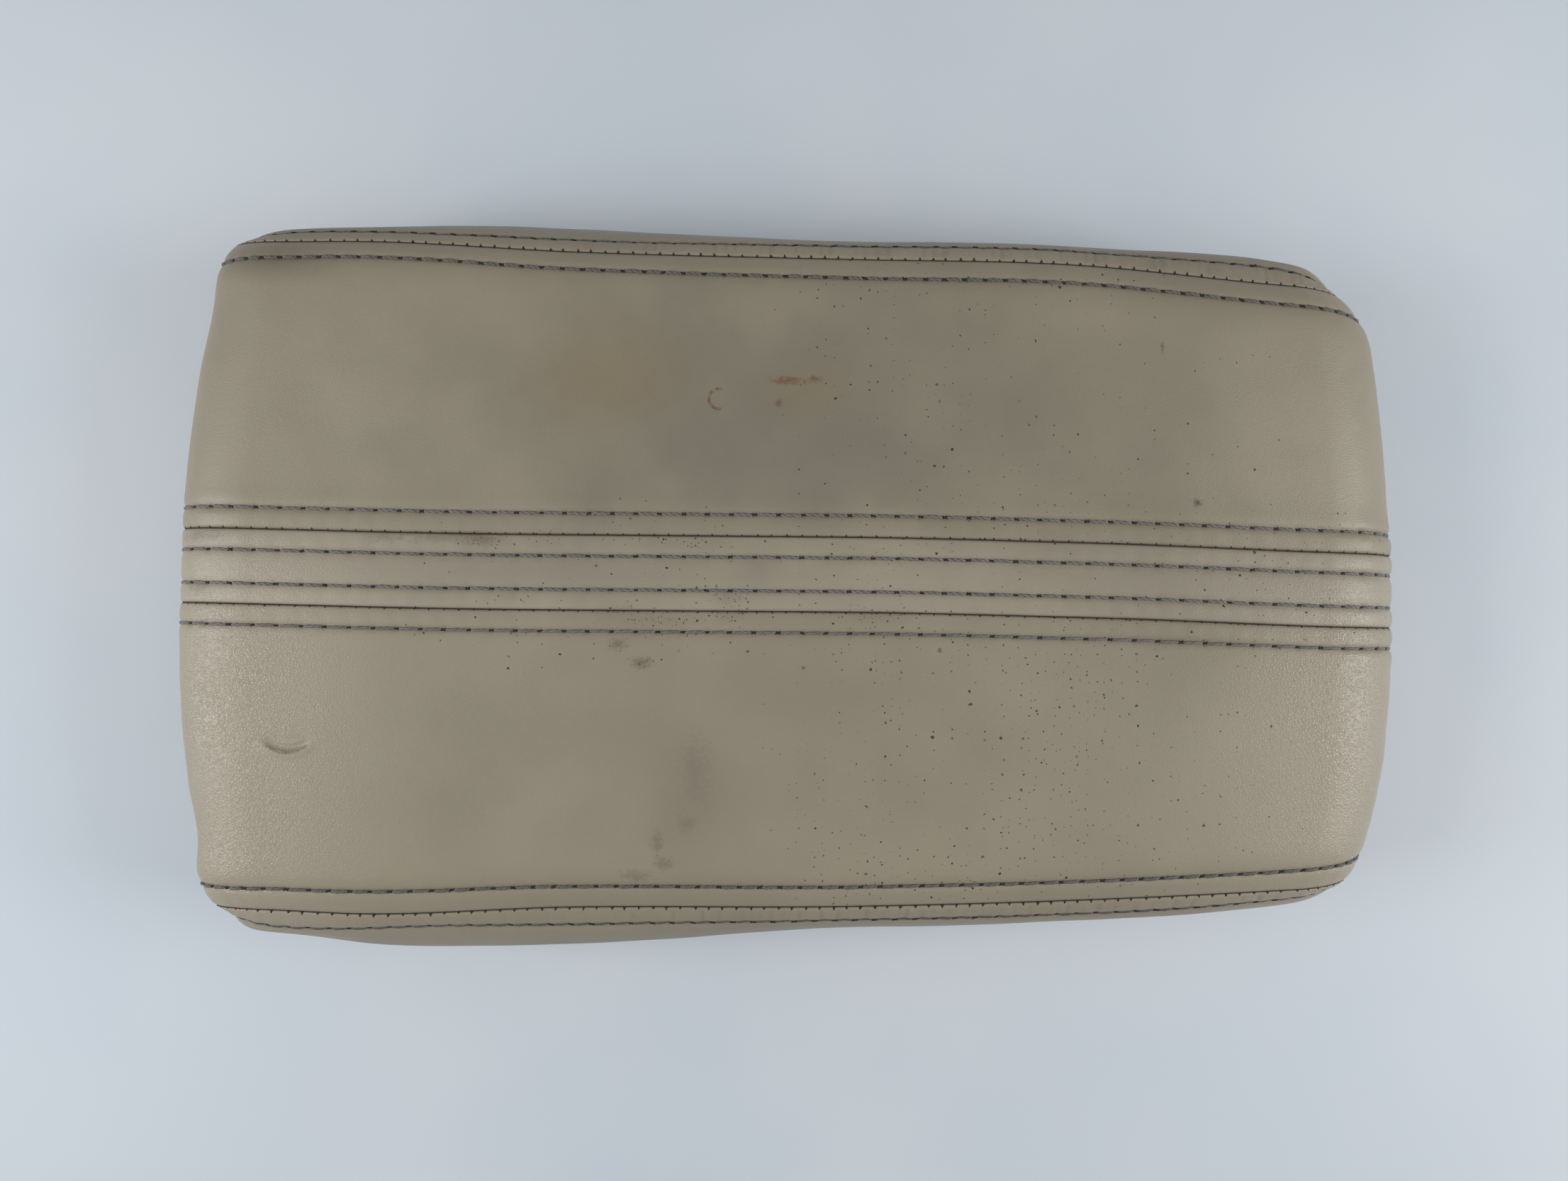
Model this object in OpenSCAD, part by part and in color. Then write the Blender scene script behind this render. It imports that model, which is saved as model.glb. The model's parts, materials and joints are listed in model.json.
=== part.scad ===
// Centre console armrest lid for a car: a stitched leather pad over foam on a moulded carrier,
// with a sprung hinge under its rear end and a finger latch under its front end.
// Millimetres. Front is +X, left is +Y, up is +Z, and z = 0 is the surface it stands on.

/* [Pad] */
// Overall length from rear end to front end
pad_length = 300; // [285:1:325]
// Height of the top above the surface the lid stands on
pad_height = 57; // [55:1:62]
// Width between the two edge seams at the rear end
seam_width_rear = 164; // [156:1:172]
// Width between the two edge seams at the front end
seam_width_front = 146; // [140:1:152]
// How far each side swells out below its edge seam
side_flare = 12; // [9:0.5:14]
// Depth over which most of that swell is reached
flare_depth = 7; // [6:0.5:10]
// Length of the rolled rear edge
rear_roll_x = 20; // [16:1:24]
// Depth of the rolled rear edge
rear_roll_z = 12; // [10:1:15]
// Length of the rolled front edge
front_roll_x = 23; // [20:1:28]
// Depth of the rolled front edge
front_roll_z = 22; // [18:1:26]
// How far the rear end draws in at its corners
rear_bow = 5; // [4:0.5:8]
// How far the front end draws in at its corners
front_bow = 8; // [6:0.5:12]
// Rise of the middle of the top across the width
crown = 1.7; // [0.5:0.1:3]
// Rise of the middle of the top along the length
length_crown = 1.5; // [0.5:0.5:2.5]
// Drop of the top into each edge seam
edge_drop = 4.5; // [3:0.5:6]
// Width of the band that drops into each edge seam
edge_band = 12; // [10:1:15]
// Height of the rim above the surface
rim_lift = 5; // [4.5:0.5:6]
// Extra height of the rim at the rear end, above the hinge
rear_lift = 10; // [9.5:0.5:11]

/* [Seams] */
// Width of the centre strip between its two seams
strip_width = 18.6; // [14:0.2:24]
// Sideways shift of the centre strip at the rear end, as sewn
strip_shift_rear = 3.3; // [-4:0.1:4]
// Sideways shift of the centre strip at the front end, as sewn
strip_shift_front = 0.3; // [-4:0.1:4]
// Distance of a topstitch row from its seam
topstitch_gap = 5.1; // [4.4:0.1:5.6]
// Depth of the groove along a seam
seam_groove = 0.9; // [0.4:0.1:1.1]
// Depth of the dip along a topstitch row
stitch_dip = 0.3; // [0.1:0.1:0.5]
// Thickness of the topstitch thread
thread = 0.8; // [0.5:0.1:1]

/* [Layers] */
// Thickness of the leather
leather = 1.6; // [1.2:0.1:1.8]
// Thickness of the foam over the top
foam_top = 14; // [11:0.5:15]
// Thickness of the foam down the ends and at the rim
foam_side = 4.4; // [3.5:0.1:5]
// Wall of the moulded carrier
carrier_wall = 2.5; // [2:0.1:3]
// Thickness of the liner panel underneath
liner_wall = 2.5; // [2:0.1:3]
// Height of the underside of the liner panel
liner_height = 16; // [15.8:0.1:16.5]

/* [Hinge] */
// Distance of the hinge pin from the rear end
hinge_setback = 7; // [6.5:0.5:7.5]
// Height of the hinge pin
hinge_height = 8.5; // [8.2:0.1:8.7]
// Diameter of the hinge pin
hinge_pin_d = 5; // [4:0.5:5]
// Radius of the hinge ears around the pin
hinge_ear_r = 5; // [4.6:0.1:5]
// Thickness of the hinge plates
hinge_plate = 2.2; // [1.8:0.1:2.2]
// Width of the base plate across the lid
base_width = 84; // [80:1:90]
// Length of the base plate from the pin to its front edge
base_length = 36; // [34:1:38]
// Diameter of the four mounting holes in the base plate
mount_hole_d = 5.5; // [4.5:0.5:6]
// Spacing of the mounting holes along the length
mount_pitch_x = 16; // [14:1:18]
// Spacing of the mounting holes across the width
mount_pitch_y = 70; // [68:1:74]
// Wire diameter of the hinge spring
hinge_wire = 0.8; // [0.7:0.1:0.9]
// Number of curls of the hinge spring
hinge_curls = 6; // [5:1:8]

/* [Latch] */
// Distance of the latch pin from the middle of the lid
latch_x = 112; // [108:1:114]
// Height of the latch pin
latch_height = 9; // [8.8:0.1:9.2]
// Diameter of the latch pin
latch_pin_d = 4; // [3:0.5:4]
// Width of the finger paddle
paddle_width = 56; // [50:1:64]
// Wire diameter of the latch spring
latch_wire = 0.8; // [0.6:0.1:0.8]
// Number of curls of the latch spring
latch_curls = 4; // [3:1:5]

/* [Bumpers and screws] */
// Distance of the bumpers from the middle along the length
bumper_x = 98; // [94:1:100]
// Distance of the bumpers from the middle across the width
bumper_y = 61; // [58:1:63]
// Diameter of the bumper heads
bumper_d = 14; // [12:0.5:15]
// Distance of the outer liner screws from the middle
liner_screw_x = 62; // [54:1:68]

/* [View] */
// Which piece to show

/* [Hidden] */
$fn = 48;

half_length = pad_length / 2;
half_strip = strip_width / 2;
hinge_x = hinge_setback - half_length;
bow_power = 2.4;
rear_corner = 12;
front_corner = 15;
shoulder = 1.6;
layer_gap = 0.2;
rim_gap = 0.6;
core_rise = 1.2;
row_drop = 0.55 * topstitch_gap;
side_rows = 5;
roll_steps = 5;
top_marks = [0.04, 0.12, 0.3, 0.7, 0.88, 0.96];
top_steps = len(top_marks) + 1;
lift_start = 104;
lift_end = 138;
flange_top = 25;
core_roll = 8;

foam_inset = leather + 2 * layer_gap;
foam_inner = foam_inset + foam_side;
core_lift = foam_inset + core_rise;
carrier_inset = foam_inner + layer_gap;
carrier_inner = carrier_inset + carrier_wall;
wrap_outer = carrier_inner + rim_gap;
wrap_inner = wrap_outer + leather;
liner_inset = wrap_inner + 0.8;
carrier_drop = leather + 3 * layer_gap + foam_top;
liner_top = liner_height + liner_wall;

// A layer of the pad: inset, drop of its top, lift of its rim, then its rear and front rolls
function skin(inset) = [
  inset, inset, inset,
  rear_roll_x - inset, rear_roll_z - inset, front_roll_x - inset, front_roll_z - inset
];
function core(inset, drop, lift, roll) = [inset, drop, lift, roll, roll, roll, roll];

outer_skin = skin(0);
inner_skin = skin(leather);
foam_skin = skin(foam_inset) + [0, 0, core_rise, 0, 0, 0, 0];
foam_core = core(foam_inner, carrier_drop - layer_gap, core_lift, core_roll + layer_gap);
carrier_skin = core(carrier_inset, carrier_drop, core_lift, core_roll);
carrier_core = core(carrier_inner, carrier_drop + carrier_wall, core_lift, core_roll - carrier_wall);
wrap_back = core(wrap_outer, carrier_drop + carrier_wall, leather, core_roll - carrier_wall);
wrap_face = core(wrap_inner, carrier_drop + carrier_wall, 0, core_roll - carrier_wall);

function smooth(v) =
  let (c = min(1, max(0, v)))
  c * c * (3 - 2 * c);
function seam_half(x) =
  (seam_width_rear + seam_width_front) / 4
  - (seam_width_rear - seam_width_front) / (4 * half_length) * x;
function full_x(layer, x) = x * half_length / (half_length - layer[0]);
function base_z(x) = rim_lift + rear_lift * smooth((-x - lift_start) / (lift_end - lift_start));
function rim_z(layer, x) = base_z(full_x(layer, x)) + layer[2];
function sag(x) = length_crown * pow(x / half_length, 2);
function cross_drop(y, w) =
  crown * pow(y / w, 2) + edge_drop * pow(max(0, (y - w + edge_band) / edge_band), 2);

// Height of side row k between the seam at zs and the rim at zb
function row_z(zs, zb, k) =
  k == 0 ? zs :
  k == 1 ? zs - shoulder :
  k == 2 ? zs - row_drop :
  zs - row_drop - (zs - row_drop - zb) * pow((k - 2) / (side_rows - 2), 1.25);

// Lengthwise profile of a layer as [x, z, normal x, normal z], rear rim to front rim
function roll_at(x0, dir, z0, ax, az, t) =
  let (
    x = x0 - dir * ax * (1 - cos(t)),
    n = [dir * cos(t) / ax, sin(t) / az]
  )
  concat([x, z0 + az * sin(t) - sag(x)], n / norm(n));
function profile(layer) =
  let (
    e = half_length - layer[0],
    z1 = pad_height - layer[1],
    zr = z1 - layer[4] - sag(e),
    zf = z1 - layer[6] - sag(e),
    xa = layer[3] - e,
    xb = e - layer[5]
  )
  concat(
    [for (k = [side_rows:-1:1]) [-e, row_z(zr, rim_z(layer, -e), k), -1, 0]],
    [for (a = [0:roll_steps]) roll_at(-e, -1, z1 - layer[4], layer[3], layer[4], 90 * a / roll_steps)],
    [for (a = top_marks) let (x = xa + (xb - xa) * a) [x, z1 - sag(x), 0, 1]],
    [for (a = [roll_steps:-1:0]) roll_at(e, 1, z1 - layer[6], layer[5], layer[6], 90 * a / roll_steps)],
    [for (k = [1:side_rows]) [e, row_z(zf, rim_z(layer, e), k), 1, 0]]
  );
last_row = 2 * side_rows + 2 * roll_steps + top_steps;
first_column = side_rows;
last_column = last_row - side_rows;

// Point of a layer's top and ends at a profile station and a line across
// A line is [a, b, dip]: it runs at y = a + b * half seam width, sunk by dip
function top_point(layer, s, line) =
  let (
    w = seam_half(s[0]),
    y = line[0] + line[1] * w,
    t = y / w,
    d = cross_drop(abs(y), w) + line[2],
    bow = s[0] < 0 ? rear_bow : front_bow
  )
  [
    (s[0] - s[2] * d) * (1 - bow / half_length * pow(abs(t), bow_power)),
    t * (w - layer[0]),
    s[1] - s[3] * d
  ];
left_seam = [0, 1, 0];
// The edge seam, sunk only where it runs down the two ends
function end_seam(s, dip) = [0, 1, abs(s[2]) > 0.99 ? dip : 0];

// Half width of a layer's left side at column station s and height z
function side_y(layer, ends, s, z) =
  let (p = top_point(layer, s, left_seam))
  p[1] + side_flare * (1 - exp(-max(0, p[2] - z) / flare_depth))
  * (1 - exp(-max(0, p[0] - ends[0]) / rear_corner))
  * (1 - exp(-max(0, ends[1] - p[0]) / front_corner));
function seam_ends(layer) =
  let (p = profile(layer))
  [
    top_point(layer, p[first_column], left_seam)[0],
    top_point(layer, p[last_column], left_seam)[0]
  ];
function side_point(layer, ends, s, k, dip) =
  let (
    p = top_point(layer, s, end_seam(s, dip)),
    z = row_z(p[2], rim_z(layer, s[0]), k)
  )
  k == 0 ? top_point(layer, s, [0, 1, dip]) : [p[0], side_y(layer, ends, s, z), z];

// Stations where the leather turns under the rim and up the inside
function wrap_station(wrap, end, z) = [end * (half_length - wrap[0]), z, end, 0];

// Grid of the top leather between two lines, folded under the rim at both ends
function panel_grid(layer, wrap, lines) =
  let (
    stations = concat(
      [wrap_station(wrap, -1, flange_top), wrap_station(wrap, -1, rim_z(wrap, -half_length + wrap[0]))],
      profile(layer),
      [wrap_station(wrap, 1, rim_z(wrap, half_length - wrap[0])), wrap_station(wrap, 1, flange_top)]
    ),
    last = len(stations) - 1
  )
  [
    for (i = [0:last])
      [for (line = lines) top_point(i < 2 || i > last - 2 ? wrap : layer, stations[i], line)]
  ];

// Grid of the left side leather, folded under the rim along its lower edge
function side_grid(layer, wrap, dip) =
  let (
    stations = profile(layer),
    wrap_stations = profile(wrap),
    ends = seam_ends(layer),
    wrap_ends = seam_ends(wrap)
  )
  [
    for (i = [first_column:last_column])
      let (
        s = stations[i],
        ws = wrap_stations[i],
        wx = top_point(wrap, ws, end_seam(ws, dip))[0],
        wz = rim_z(wrap, ws[0])
      )
      concat(
        [for (k = [0:side_rows]) side_point(layer, ends, s, k, dip)],
        [
          [wx, side_y(wrap, wrap_ends, ws, wz), wz],
          [wx, side_y(wrap, wrap_ends, ws, flange_top), flange_top]
        ]
      )
  ];

function no_dip(lines) = [for (line = lines) [line[0], line[1], 0]];
function flat(rows) = [for (row = rows) each row];
function quad(a, b, c, d) = [[a, b, c], [a, c, d]];

// Closed solid between two grids of the same size
module sheet_solid(face, back) {
  rows = len(face);
  cols = len(face[0]);
  n = rows * cols;
  polyhedron(
    points = concat(flat(face), flat(back)),
    faces = flat(concat(
      [for (r = [0:rows - 2]) for (c = [0:cols - 2]) let (a = r * cols + c, b = a + cols) quad(a, a + 1, b + 1, b)],
      [for (r = [0:rows - 2]) for (c = [0:cols - 2]) let (a = n + r * cols + c, b = a + cols) quad(a, b, b + 1, a + 1)],
      [for (r = [0:rows - 2]) let (a = r * cols, b = a + cols) quad(a, b, n + b, n + a)],
      [for (r = [0:rows - 2]) let (a = r * cols + cols - 1, b = a + cols) quad(b, a, n + a, n + b)],
      [for (c = [0:cols - 2]) quad(c + 1, c, n + c, n + c + 1)],
      [for (c = [0:cols - 2]) let (a = (rows - 1) * cols + c) quad(a, a + 1, n + a + 1, n + a)]
    ))
  );
}

// Closed tray between two layers, open underneath
core_lines = [for (t = [-1, -0.925, -0.85, -0.6, -0.3, 0, 0.3, 0.6, 0.85, 0.925, 1]) [0, t, 0]];
core_cols = len(core_lines);
core_top = (last_row + 1) * core_cols;
inner_columns = last_column - first_column - 1;
core_count = core_top + 2 * inner_columns * side_rows;
function layer_points(layer) =
  let (
    stations = profile(layer),
    ends = seam_ends(layer)
  )
  concat(
    [for (s = stations) for (line = core_lines) top_point(layer, s, line)],
    [
      for (side = [1, -1]) for (i = [first_column + 1:last_column - 1]) for (k = [1:side_rows])
        let (p = side_point(layer, ends, stations[i], k, 0))
        [p[0], side * p[1], p[2]]
    ]
  );
function core_side(side, i, k) =
  let (edge = side > 0 ? core_cols - 1 : 0)
  k == 0 ? i * core_cols + edge :
  i == first_column ? (first_column - k) * core_cols + edge :
  i == last_column ? (last_column + k) * core_cols + edge :
  core_top + ((side > 0 ? 0 : inner_columns) + i - first_column - 1) * side_rows + k - 1;
core_faces = flat(concat(
  [for (r = [0:last_row - 1]) for (c = [0:core_cols - 2])
    let (a = r * core_cols + c, b = a + core_cols)
    quad(a, a + 1, b + 1, b)],
  [for (i = [first_column:last_column - 1]) for (k = [0:side_rows - 1])
    quad(core_side(1, i, k), core_side(1, i, k + 1), core_side(1, i + 1, k + 1), core_side(1, i + 1, k))],
  [for (i = [first_column:last_column - 1]) for (k = [0:side_rows - 1])
    quad(core_side(-1, i, k), core_side(-1, i + 1, k), core_side(-1, i + 1, k + 1), core_side(-1, i, k + 1))]
));
core_rim = concat(
  [for (c = [0:core_cols - 1]) c],
  [for (i = [first_column + 1:last_column - 1]) core_side(1, i, side_rows)],
  [for (c = [core_cols - 1:-1:0]) last_row * core_cols + c],
  [for (i = [last_column - 1:-1:first_column + 1]) core_side(-1, i, side_rows)]
);
module tray_solid(face, back) {
  n = core_count;
  m = len(core_rim);
  polyhedron(
    points = concat(layer_points(face), layer_points(back)),
    faces = concat(
      core_faces,
      [for (f = core_faces) [n + f[0], n + f[2], n + f[1]]],
      flat([for (j = [0:m - 1]) let (a = core_rim[j], b = core_rim[(j + 1) % m]) quad(b, a, n + a, n + b)])
    )
  );
}

// Round tube along a path, with the direction of its first side given at each point
module tube(path, ups, r, sides) {
  n = len(path);
  rings = [
    for (i = [0:n - 1])
      let (
        d = path[min(n - 1, i + 1)] - path[max(0, i - 1)],
        t = d / norm(d),
        u0 = ups[i] - t * (ups[i] * t),
        u = u0 / norm(u0),
        v = cross(t, u)
      )
      [for (j = [0:sides - 1]) path[i] + r * (cos(360 * j / sides) * u + sin(360 * j / sides) * v)]
  ];
  polyhedron(
    points = flat(rings),
    faces = concat(
      flat([
        for (i = [0:n - 2]) for (j = [0:sides - 1])
          let (a = i * sides + j, b = i * sides + (j + 1) % sides)
          quad(a, a + sides, b + sides, b)
      ]),
      [[for (j = [0:sides - 1]) j]],
      [[for (j = [sides - 1:-1:0]) (n - 1) * sides + j]]
    )
  );
}

// Coil about a Y axis through the origin, from one straight leg to the other
// Each leg is [x, z] of its free end, and the coil turns from start to start - sweep degrees
function coil_path(r, pitch, start, sweep, leg_a, leg_b) =
  let (
    steps = ceil(sweep / 45),
    rise = pitch * sweep / 360
  )
  concat(
    [[leg_a[0], -rise / 2, leg_a[1]]],
    [
      for (i = [0:steps])
        let (a = start - sweep * i / steps)
        [r * cos(a), rise * (i / steps - 0.5), r * sin(a)]
    ],
    [[leg_b[0], rise / 2, leg_b[1]]]
  );
function coil_ups(path) =
  let (n = len(path))
  [
    for (i = [0:n - 1])
      let (p = path[min(n - 2, max(1, i))])
      [p[0], 0, p[2]]
  ];
function self_gap(path, wire) =
  min([
    for (i = [1:len(path) - 2]) for (j = [i + 5:1:len(path) - 2])
      norm(path[i] - path[j])
  ]) - wire;

// Shift of the strip as the [a, b] of a line
shift_slope = 2 * (strip_shift_rear - strip_shift_front) / (seam_width_rear - seam_width_front);
strip_shift = [strip_shift_rear - shift_slope * seam_width_rear / 2, shift_slope];
function strip_line(y, dip, side) = [y + side * strip_shift[0], side * strip_shift[1], dip];
function edge_line(y, dip) = [-y, 1, dip];
function panel_lines(side) =
  let (
    inner = strip_line(half_strip + topstitch_gap + 4, 0, side),
    outer = edge_line(edge_band, 0)
  )
  [
    strip_line(half_strip, seam_groove, side),
    strip_line(half_strip + shoulder, 0, side),
    strip_line(half_strip + topstitch_gap, stitch_dip, side),
    inner,
    0.5 * (inner + outer),
    outer,
    edge_line(topstitch_gap + 2.6, 0),
    edge_line(topstitch_gap, stitch_dip),
    edge_line(shoulder, 0),
    edge_line(0, seam_groove)
  ];
strip_lines = [
  strip_line(-half_strip, seam_groove, 1),
  strip_line(shoulder - half_strip, 0, 1),
  strip_line(topstitch_gap - half_strip, stitch_dip, 1),
  strip_line(half_strip - topstitch_gap, stitch_dip, 1),
  strip_line(half_strip - shoulder, 0, 1),
  strip_line(half_strip, seam_groove, 1)
];

// Cover
module top_panel(lines) {
  sheet_solid(
    panel_grid(outer_skin, wrap_face, lines),
    panel_grid(inner_skin, wrap_back, no_dip(lines))
  );
}
module side_panel() {
  sheet_solid(side_grid(outer_skin, wrap_face, seam_groove), side_grid(inner_skin, wrap_back, 0));
}
module cover_left_panel() {
  color([0.52, 0.48, 0.41])
    top_panel(panel_lines(1));
}
module cover_right_panel() {
  color([0.52, 0.48, 0.41])
    mirror([0, 1, 0])
      top_panel(panel_lines(-1));
}
module cover_centre_strip() {
  color([0.55, 0.51, 0.44])
    top_panel(strip_lines);
}
module cover_left_side() {
  color([0.5, 0.46, 0.39])
    side_panel();
}
module cover_right_side() {
  color([0.5, 0.46, 0.39])
    mirror([0, 1, 0])
      side_panel();
}

// Topstitch thread laid along one line of the top
function unit(v) = v / norm(v);
function thread_row(line) =
  let (stations = profile(outer_skin))
  [
    for (i = [0:last_row])
      let (
        s = stations[i],
        along = top_point(outer_skin, stations[min(last_row, i + 1)], line)
          - top_point(outer_skin, stations[max(0, i - 1)], line),
        across = top_point(outer_skin, s, line + [1, 0, 0]) - top_point(outer_skin, s, line - [1, 0, 0]),
        up = unit(cross(along, across))
      )
      [top_point(outer_skin, s, line) + up * (thread / 2 + 0.1), up]
  ];
function side_thread_row() =
  let (
    stations = profile(outer_skin),
    ends = seam_ends(outer_skin)
  )
  [
    for (i = [first_column + 2:last_column - 2])
      let (
        s = stations[i],
        p = side_point(outer_skin, ends, s, 2, 0),
        along = side_point(outer_skin, ends, stations[i + 1], 2, 0)
          - side_point(outer_skin, ends, stations[i - 1], 2, 0),
        across = side_point(outer_skin, ends, s, 3, 0) - side_point(outer_skin, ends, s, 1, 0),
        up = unit(cross(along, across))
      )
      [p + up * (thread / 2 + 0.1), up]
  ];
module thread_tube(row) {
  tube([for (p = row) p[0]], [for (p = row) p[1]], thread / 2, 4);
}
module strip_topstitch() {
  color([0.33, 0.31, 0.29])
    for (side = [-1, 1])
      for (y = [half_strip - topstitch_gap, half_strip + topstitch_gap])
        thread_tube(thread_row(strip_line(side * y, stitch_dip, 1)));
}
module edge_topstitch() {
  color([0.33, 0.31, 0.29])
    for (m = [0, 1])
      mirror([0, m, 0]) {
        thread_tube(thread_row(edge_line(topstitch_gap, stitch_dip)));
        thread_tube(side_thread_row());
      }
}

// Padding and structure
module foam_pad() {
  color([0.83, 0.78, 0.6])
    tray_solid(foam_skin, foam_core);
}
module carrier() {
  color([0.16, 0.16, 0.17])
    difference() {
      union() {
        tray_solid(carrier_skin, carrier_core);
        for (p = liner_screw_points)
          boss(p, 4.5);
        for (p = leaf_screw_points)
          boss(p, 5);
        for (p = latch_screw_points)
          boss(p, 4.5);
      }
      at_liner_screws()
        pilot(1.65);
      at_leaf_screws()
        pilot(2.05);
      at_latch_screws()
        pilot(1.8);
    }
}
function carrier_under(x, y) = pad_height - carrier_core[1] - sag(x) - cross_drop(abs(y), seam_half(x));
module boss(p, r) {
  translate([p[0], p[1], liner_top])
    cylinder(r = r, h = carrier_under(p[0], p[1]) + 1.3 - liner_top);
}
module pilot(r) {
  translate([0, 0, liner_top - 1])
    cylinder(r = r, h = 15);
}
liner_screw_points = [for (x = [-liner_screw_x, 0, liner_screw_x]) for (y = [-58, 58]) [x, y, 0]];
leaf_screw_points = [for (x = [20, 34]) for (y = [-16, 16]) [hinge_x + x, y, 0]];
latch_screw_points = [for (y = [-30, 30]) [latch_x - 2, y, 0]];
module at_liner_screws() {
  for (p = liner_screw_points)
    translate(p)
      children();
}
module at_leaf_screws() {
  for (p = leaf_screw_points)
    translate(p)
      children();
}
module at_latch_screws() {
  for (p = latch_screw_points)
    translate(p)
      children();
}

// Staples that hold the turned-in leather to the carrier
wrap_ends = seam_ends(wrap_face);
staple_z = flange_top - 3.5;
module staple() {
  translate([-4.5, 0, -0.4])
    cube([9, 0.6, 0.8]);
  for (x = [-4.5, 3.7])
    translate([x, -leather - rim_gap - 1.2, -0.4])
      cube([0.8, leather + rim_gap + 1.5, 0.8]);
}
module cover_staples() {
  color([0.7, 0.7, 0.72])
    for (side = [0, 1])
      mirror([0, side, 0])
        for (x = [-100:20:100])
          let (s = [x, pad_height - wrap_face[1] - sag(x), 0, 1])
          translate([top_point(wrap_face, s, left_seam)[0], side_y(wrap_face, wrap_ends, s, staple_z) - 0.15, staple_z])
            rotate([0, 0, 180 - atan((seam_width_rear - seam_width_front) / (2 * pad_length))])
              staple();
}

// Liner panel that closes the underside
liner_layer = core(liner_inset, carrier_drop + carrier_wall, 0, core_roll - carrier_wall);
liner_profile = profile(liner_layer);
liner_ends = seam_ends(liner_layer);
liner_side = [
  for (i = [first_column + 1:last_column - 1])
    let (
      s = liner_profile[i],
      low = rim_z(wrap_face, s[0]),
      up = (liner_top - low) / (flange_top - low)
    )
    [
      top_point(liner_layer, s, left_seam)[0],
      (1 - up) * side_y(liner_layer, liner_ends, s, low) + up * side_y(liner_layer, liner_ends, s, flange_top)
    ]
];
function liner_end(end) = [
  for (t = core_lines)
    let (p = top_point(liner_layer, wrap_station(liner_layer, end, 0), t))
    [p[0], p[1]]
];
liner_outline = concat(
  liner_end(-1),
  liner_side,
  [for (j = [core_cols - 1:-1:0]) liner_end(1)[j]],
  [for (j = [len(liner_side) - 1:-1:0]) [liner_side[j][0], -liner_side[j][1]]]
);
module rounded_plate(x, y, r, h) {
  translate([-x / 2 + r, -y / 2, 0])
    cube([x - 2 * r, y, h]);
  translate([-x / 2, -y / 2 + r, 0])
    cube([x, y - 2 * r, h]);
  for (i = [-1, 1])
    for (j = [-1, 1])
      translate([i * (x / 2 - r), j * (y / 2 - r), 0])
        cylinder(r = r, h = h);
}
pedestal_drop = liner_height - 7.5;
module liner() {
  color([0.13, 0.13, 0.14])
    difference() {
      union() {
        translate([0, 0, liner_height])
          linear_extrude(height = liner_wall)
            polygon(liner_outline);
        at_bumpers()
          translate([0, 0, liner_height - pedestal_drop])
            cylinder(r = bumper_d / 2 + 1.5, h = pedestal_drop + 1);
      }
      translate([-4, 0, liner_height - 1])
        rounded_plate(150, 88, 10, 2);
      at_bumpers()
        translate([0, 0, 1])
          cylinder(r = 3.05, h = liner_height - 2);
      at_liner_screws()
        translate([0, 0, liner_height - 1])
          cylinder(r = 2, h = liner_wall + 2);
      at_leaf_screws()
        translate([0, 0, liner_height - 1])
          cylinder(r = 2.2, h = liner_wall + 2);
      at_latch_screws()
        translate([0, 0, liner_height - 1])
          cylinder(r = 2, h = liner_wall + 2);
    }
}

// Pan head screw with its head under height z
module screw(z, r, head_r, head_h, shank) {
  translate([0, 0, z - head_h])
    difference() {
      union() {
        cylinder(r1 = head_r * 0.72, r2 = head_r, h = head_h * 0.4);
        translate([0, 0, head_h * 0.4])
          cylinder(r = head_r, h = head_h * 0.6);
        cylinder(r = r, h = shank + head_h);
      }
      translate([-head_r * 0.55, -0.45, -0.5])
        cube([head_r * 1.1, 0.9, head_h * 0.55 + 0.5]);
      translate([-0.45, -head_r * 0.55, -0.5])
        cube([0.9, head_r * 1.1, head_h * 0.55 + 0.5]);
    }
}
module liner_screws() {
  color([0.2, 0.2, 0.21])
    at_liner_screws()
      screw(liner_height, 1.6, 3.8, 2.2, 14);
}

// Rubber bumpers
module at_bumpers() {
  for (x = [-bumper_x, bumper_x])
    for (y = [-bumper_y, bumper_y])
      translate([x, y, 0])
        children();
}
module bumper(x, y) {
  color([0.07, 0.07, 0.07])
    translate([x * bumper_x, y * bumper_y, 0])
      rotate_extrude()
        polygon([
          [0, 0], [bumper_d / 2 - 2, 0], [bumper_d / 2, 1.6], [bumper_d / 2, 7.5],
          [3, 7.5], [3, liner_height - 2.6], [2, liner_height - 1.6], [0, liner_height - 1.6]
        ]);
}
module bumper_front_left() {
  bumper(1, 1);
}
module bumper_front_right() {
  bumper(1, -1);
}
module bumper_rear_left() {
  bumper(-1, 1);
}
module bumper_rear_right() {
  bumper(-1, -1);
}

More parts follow.
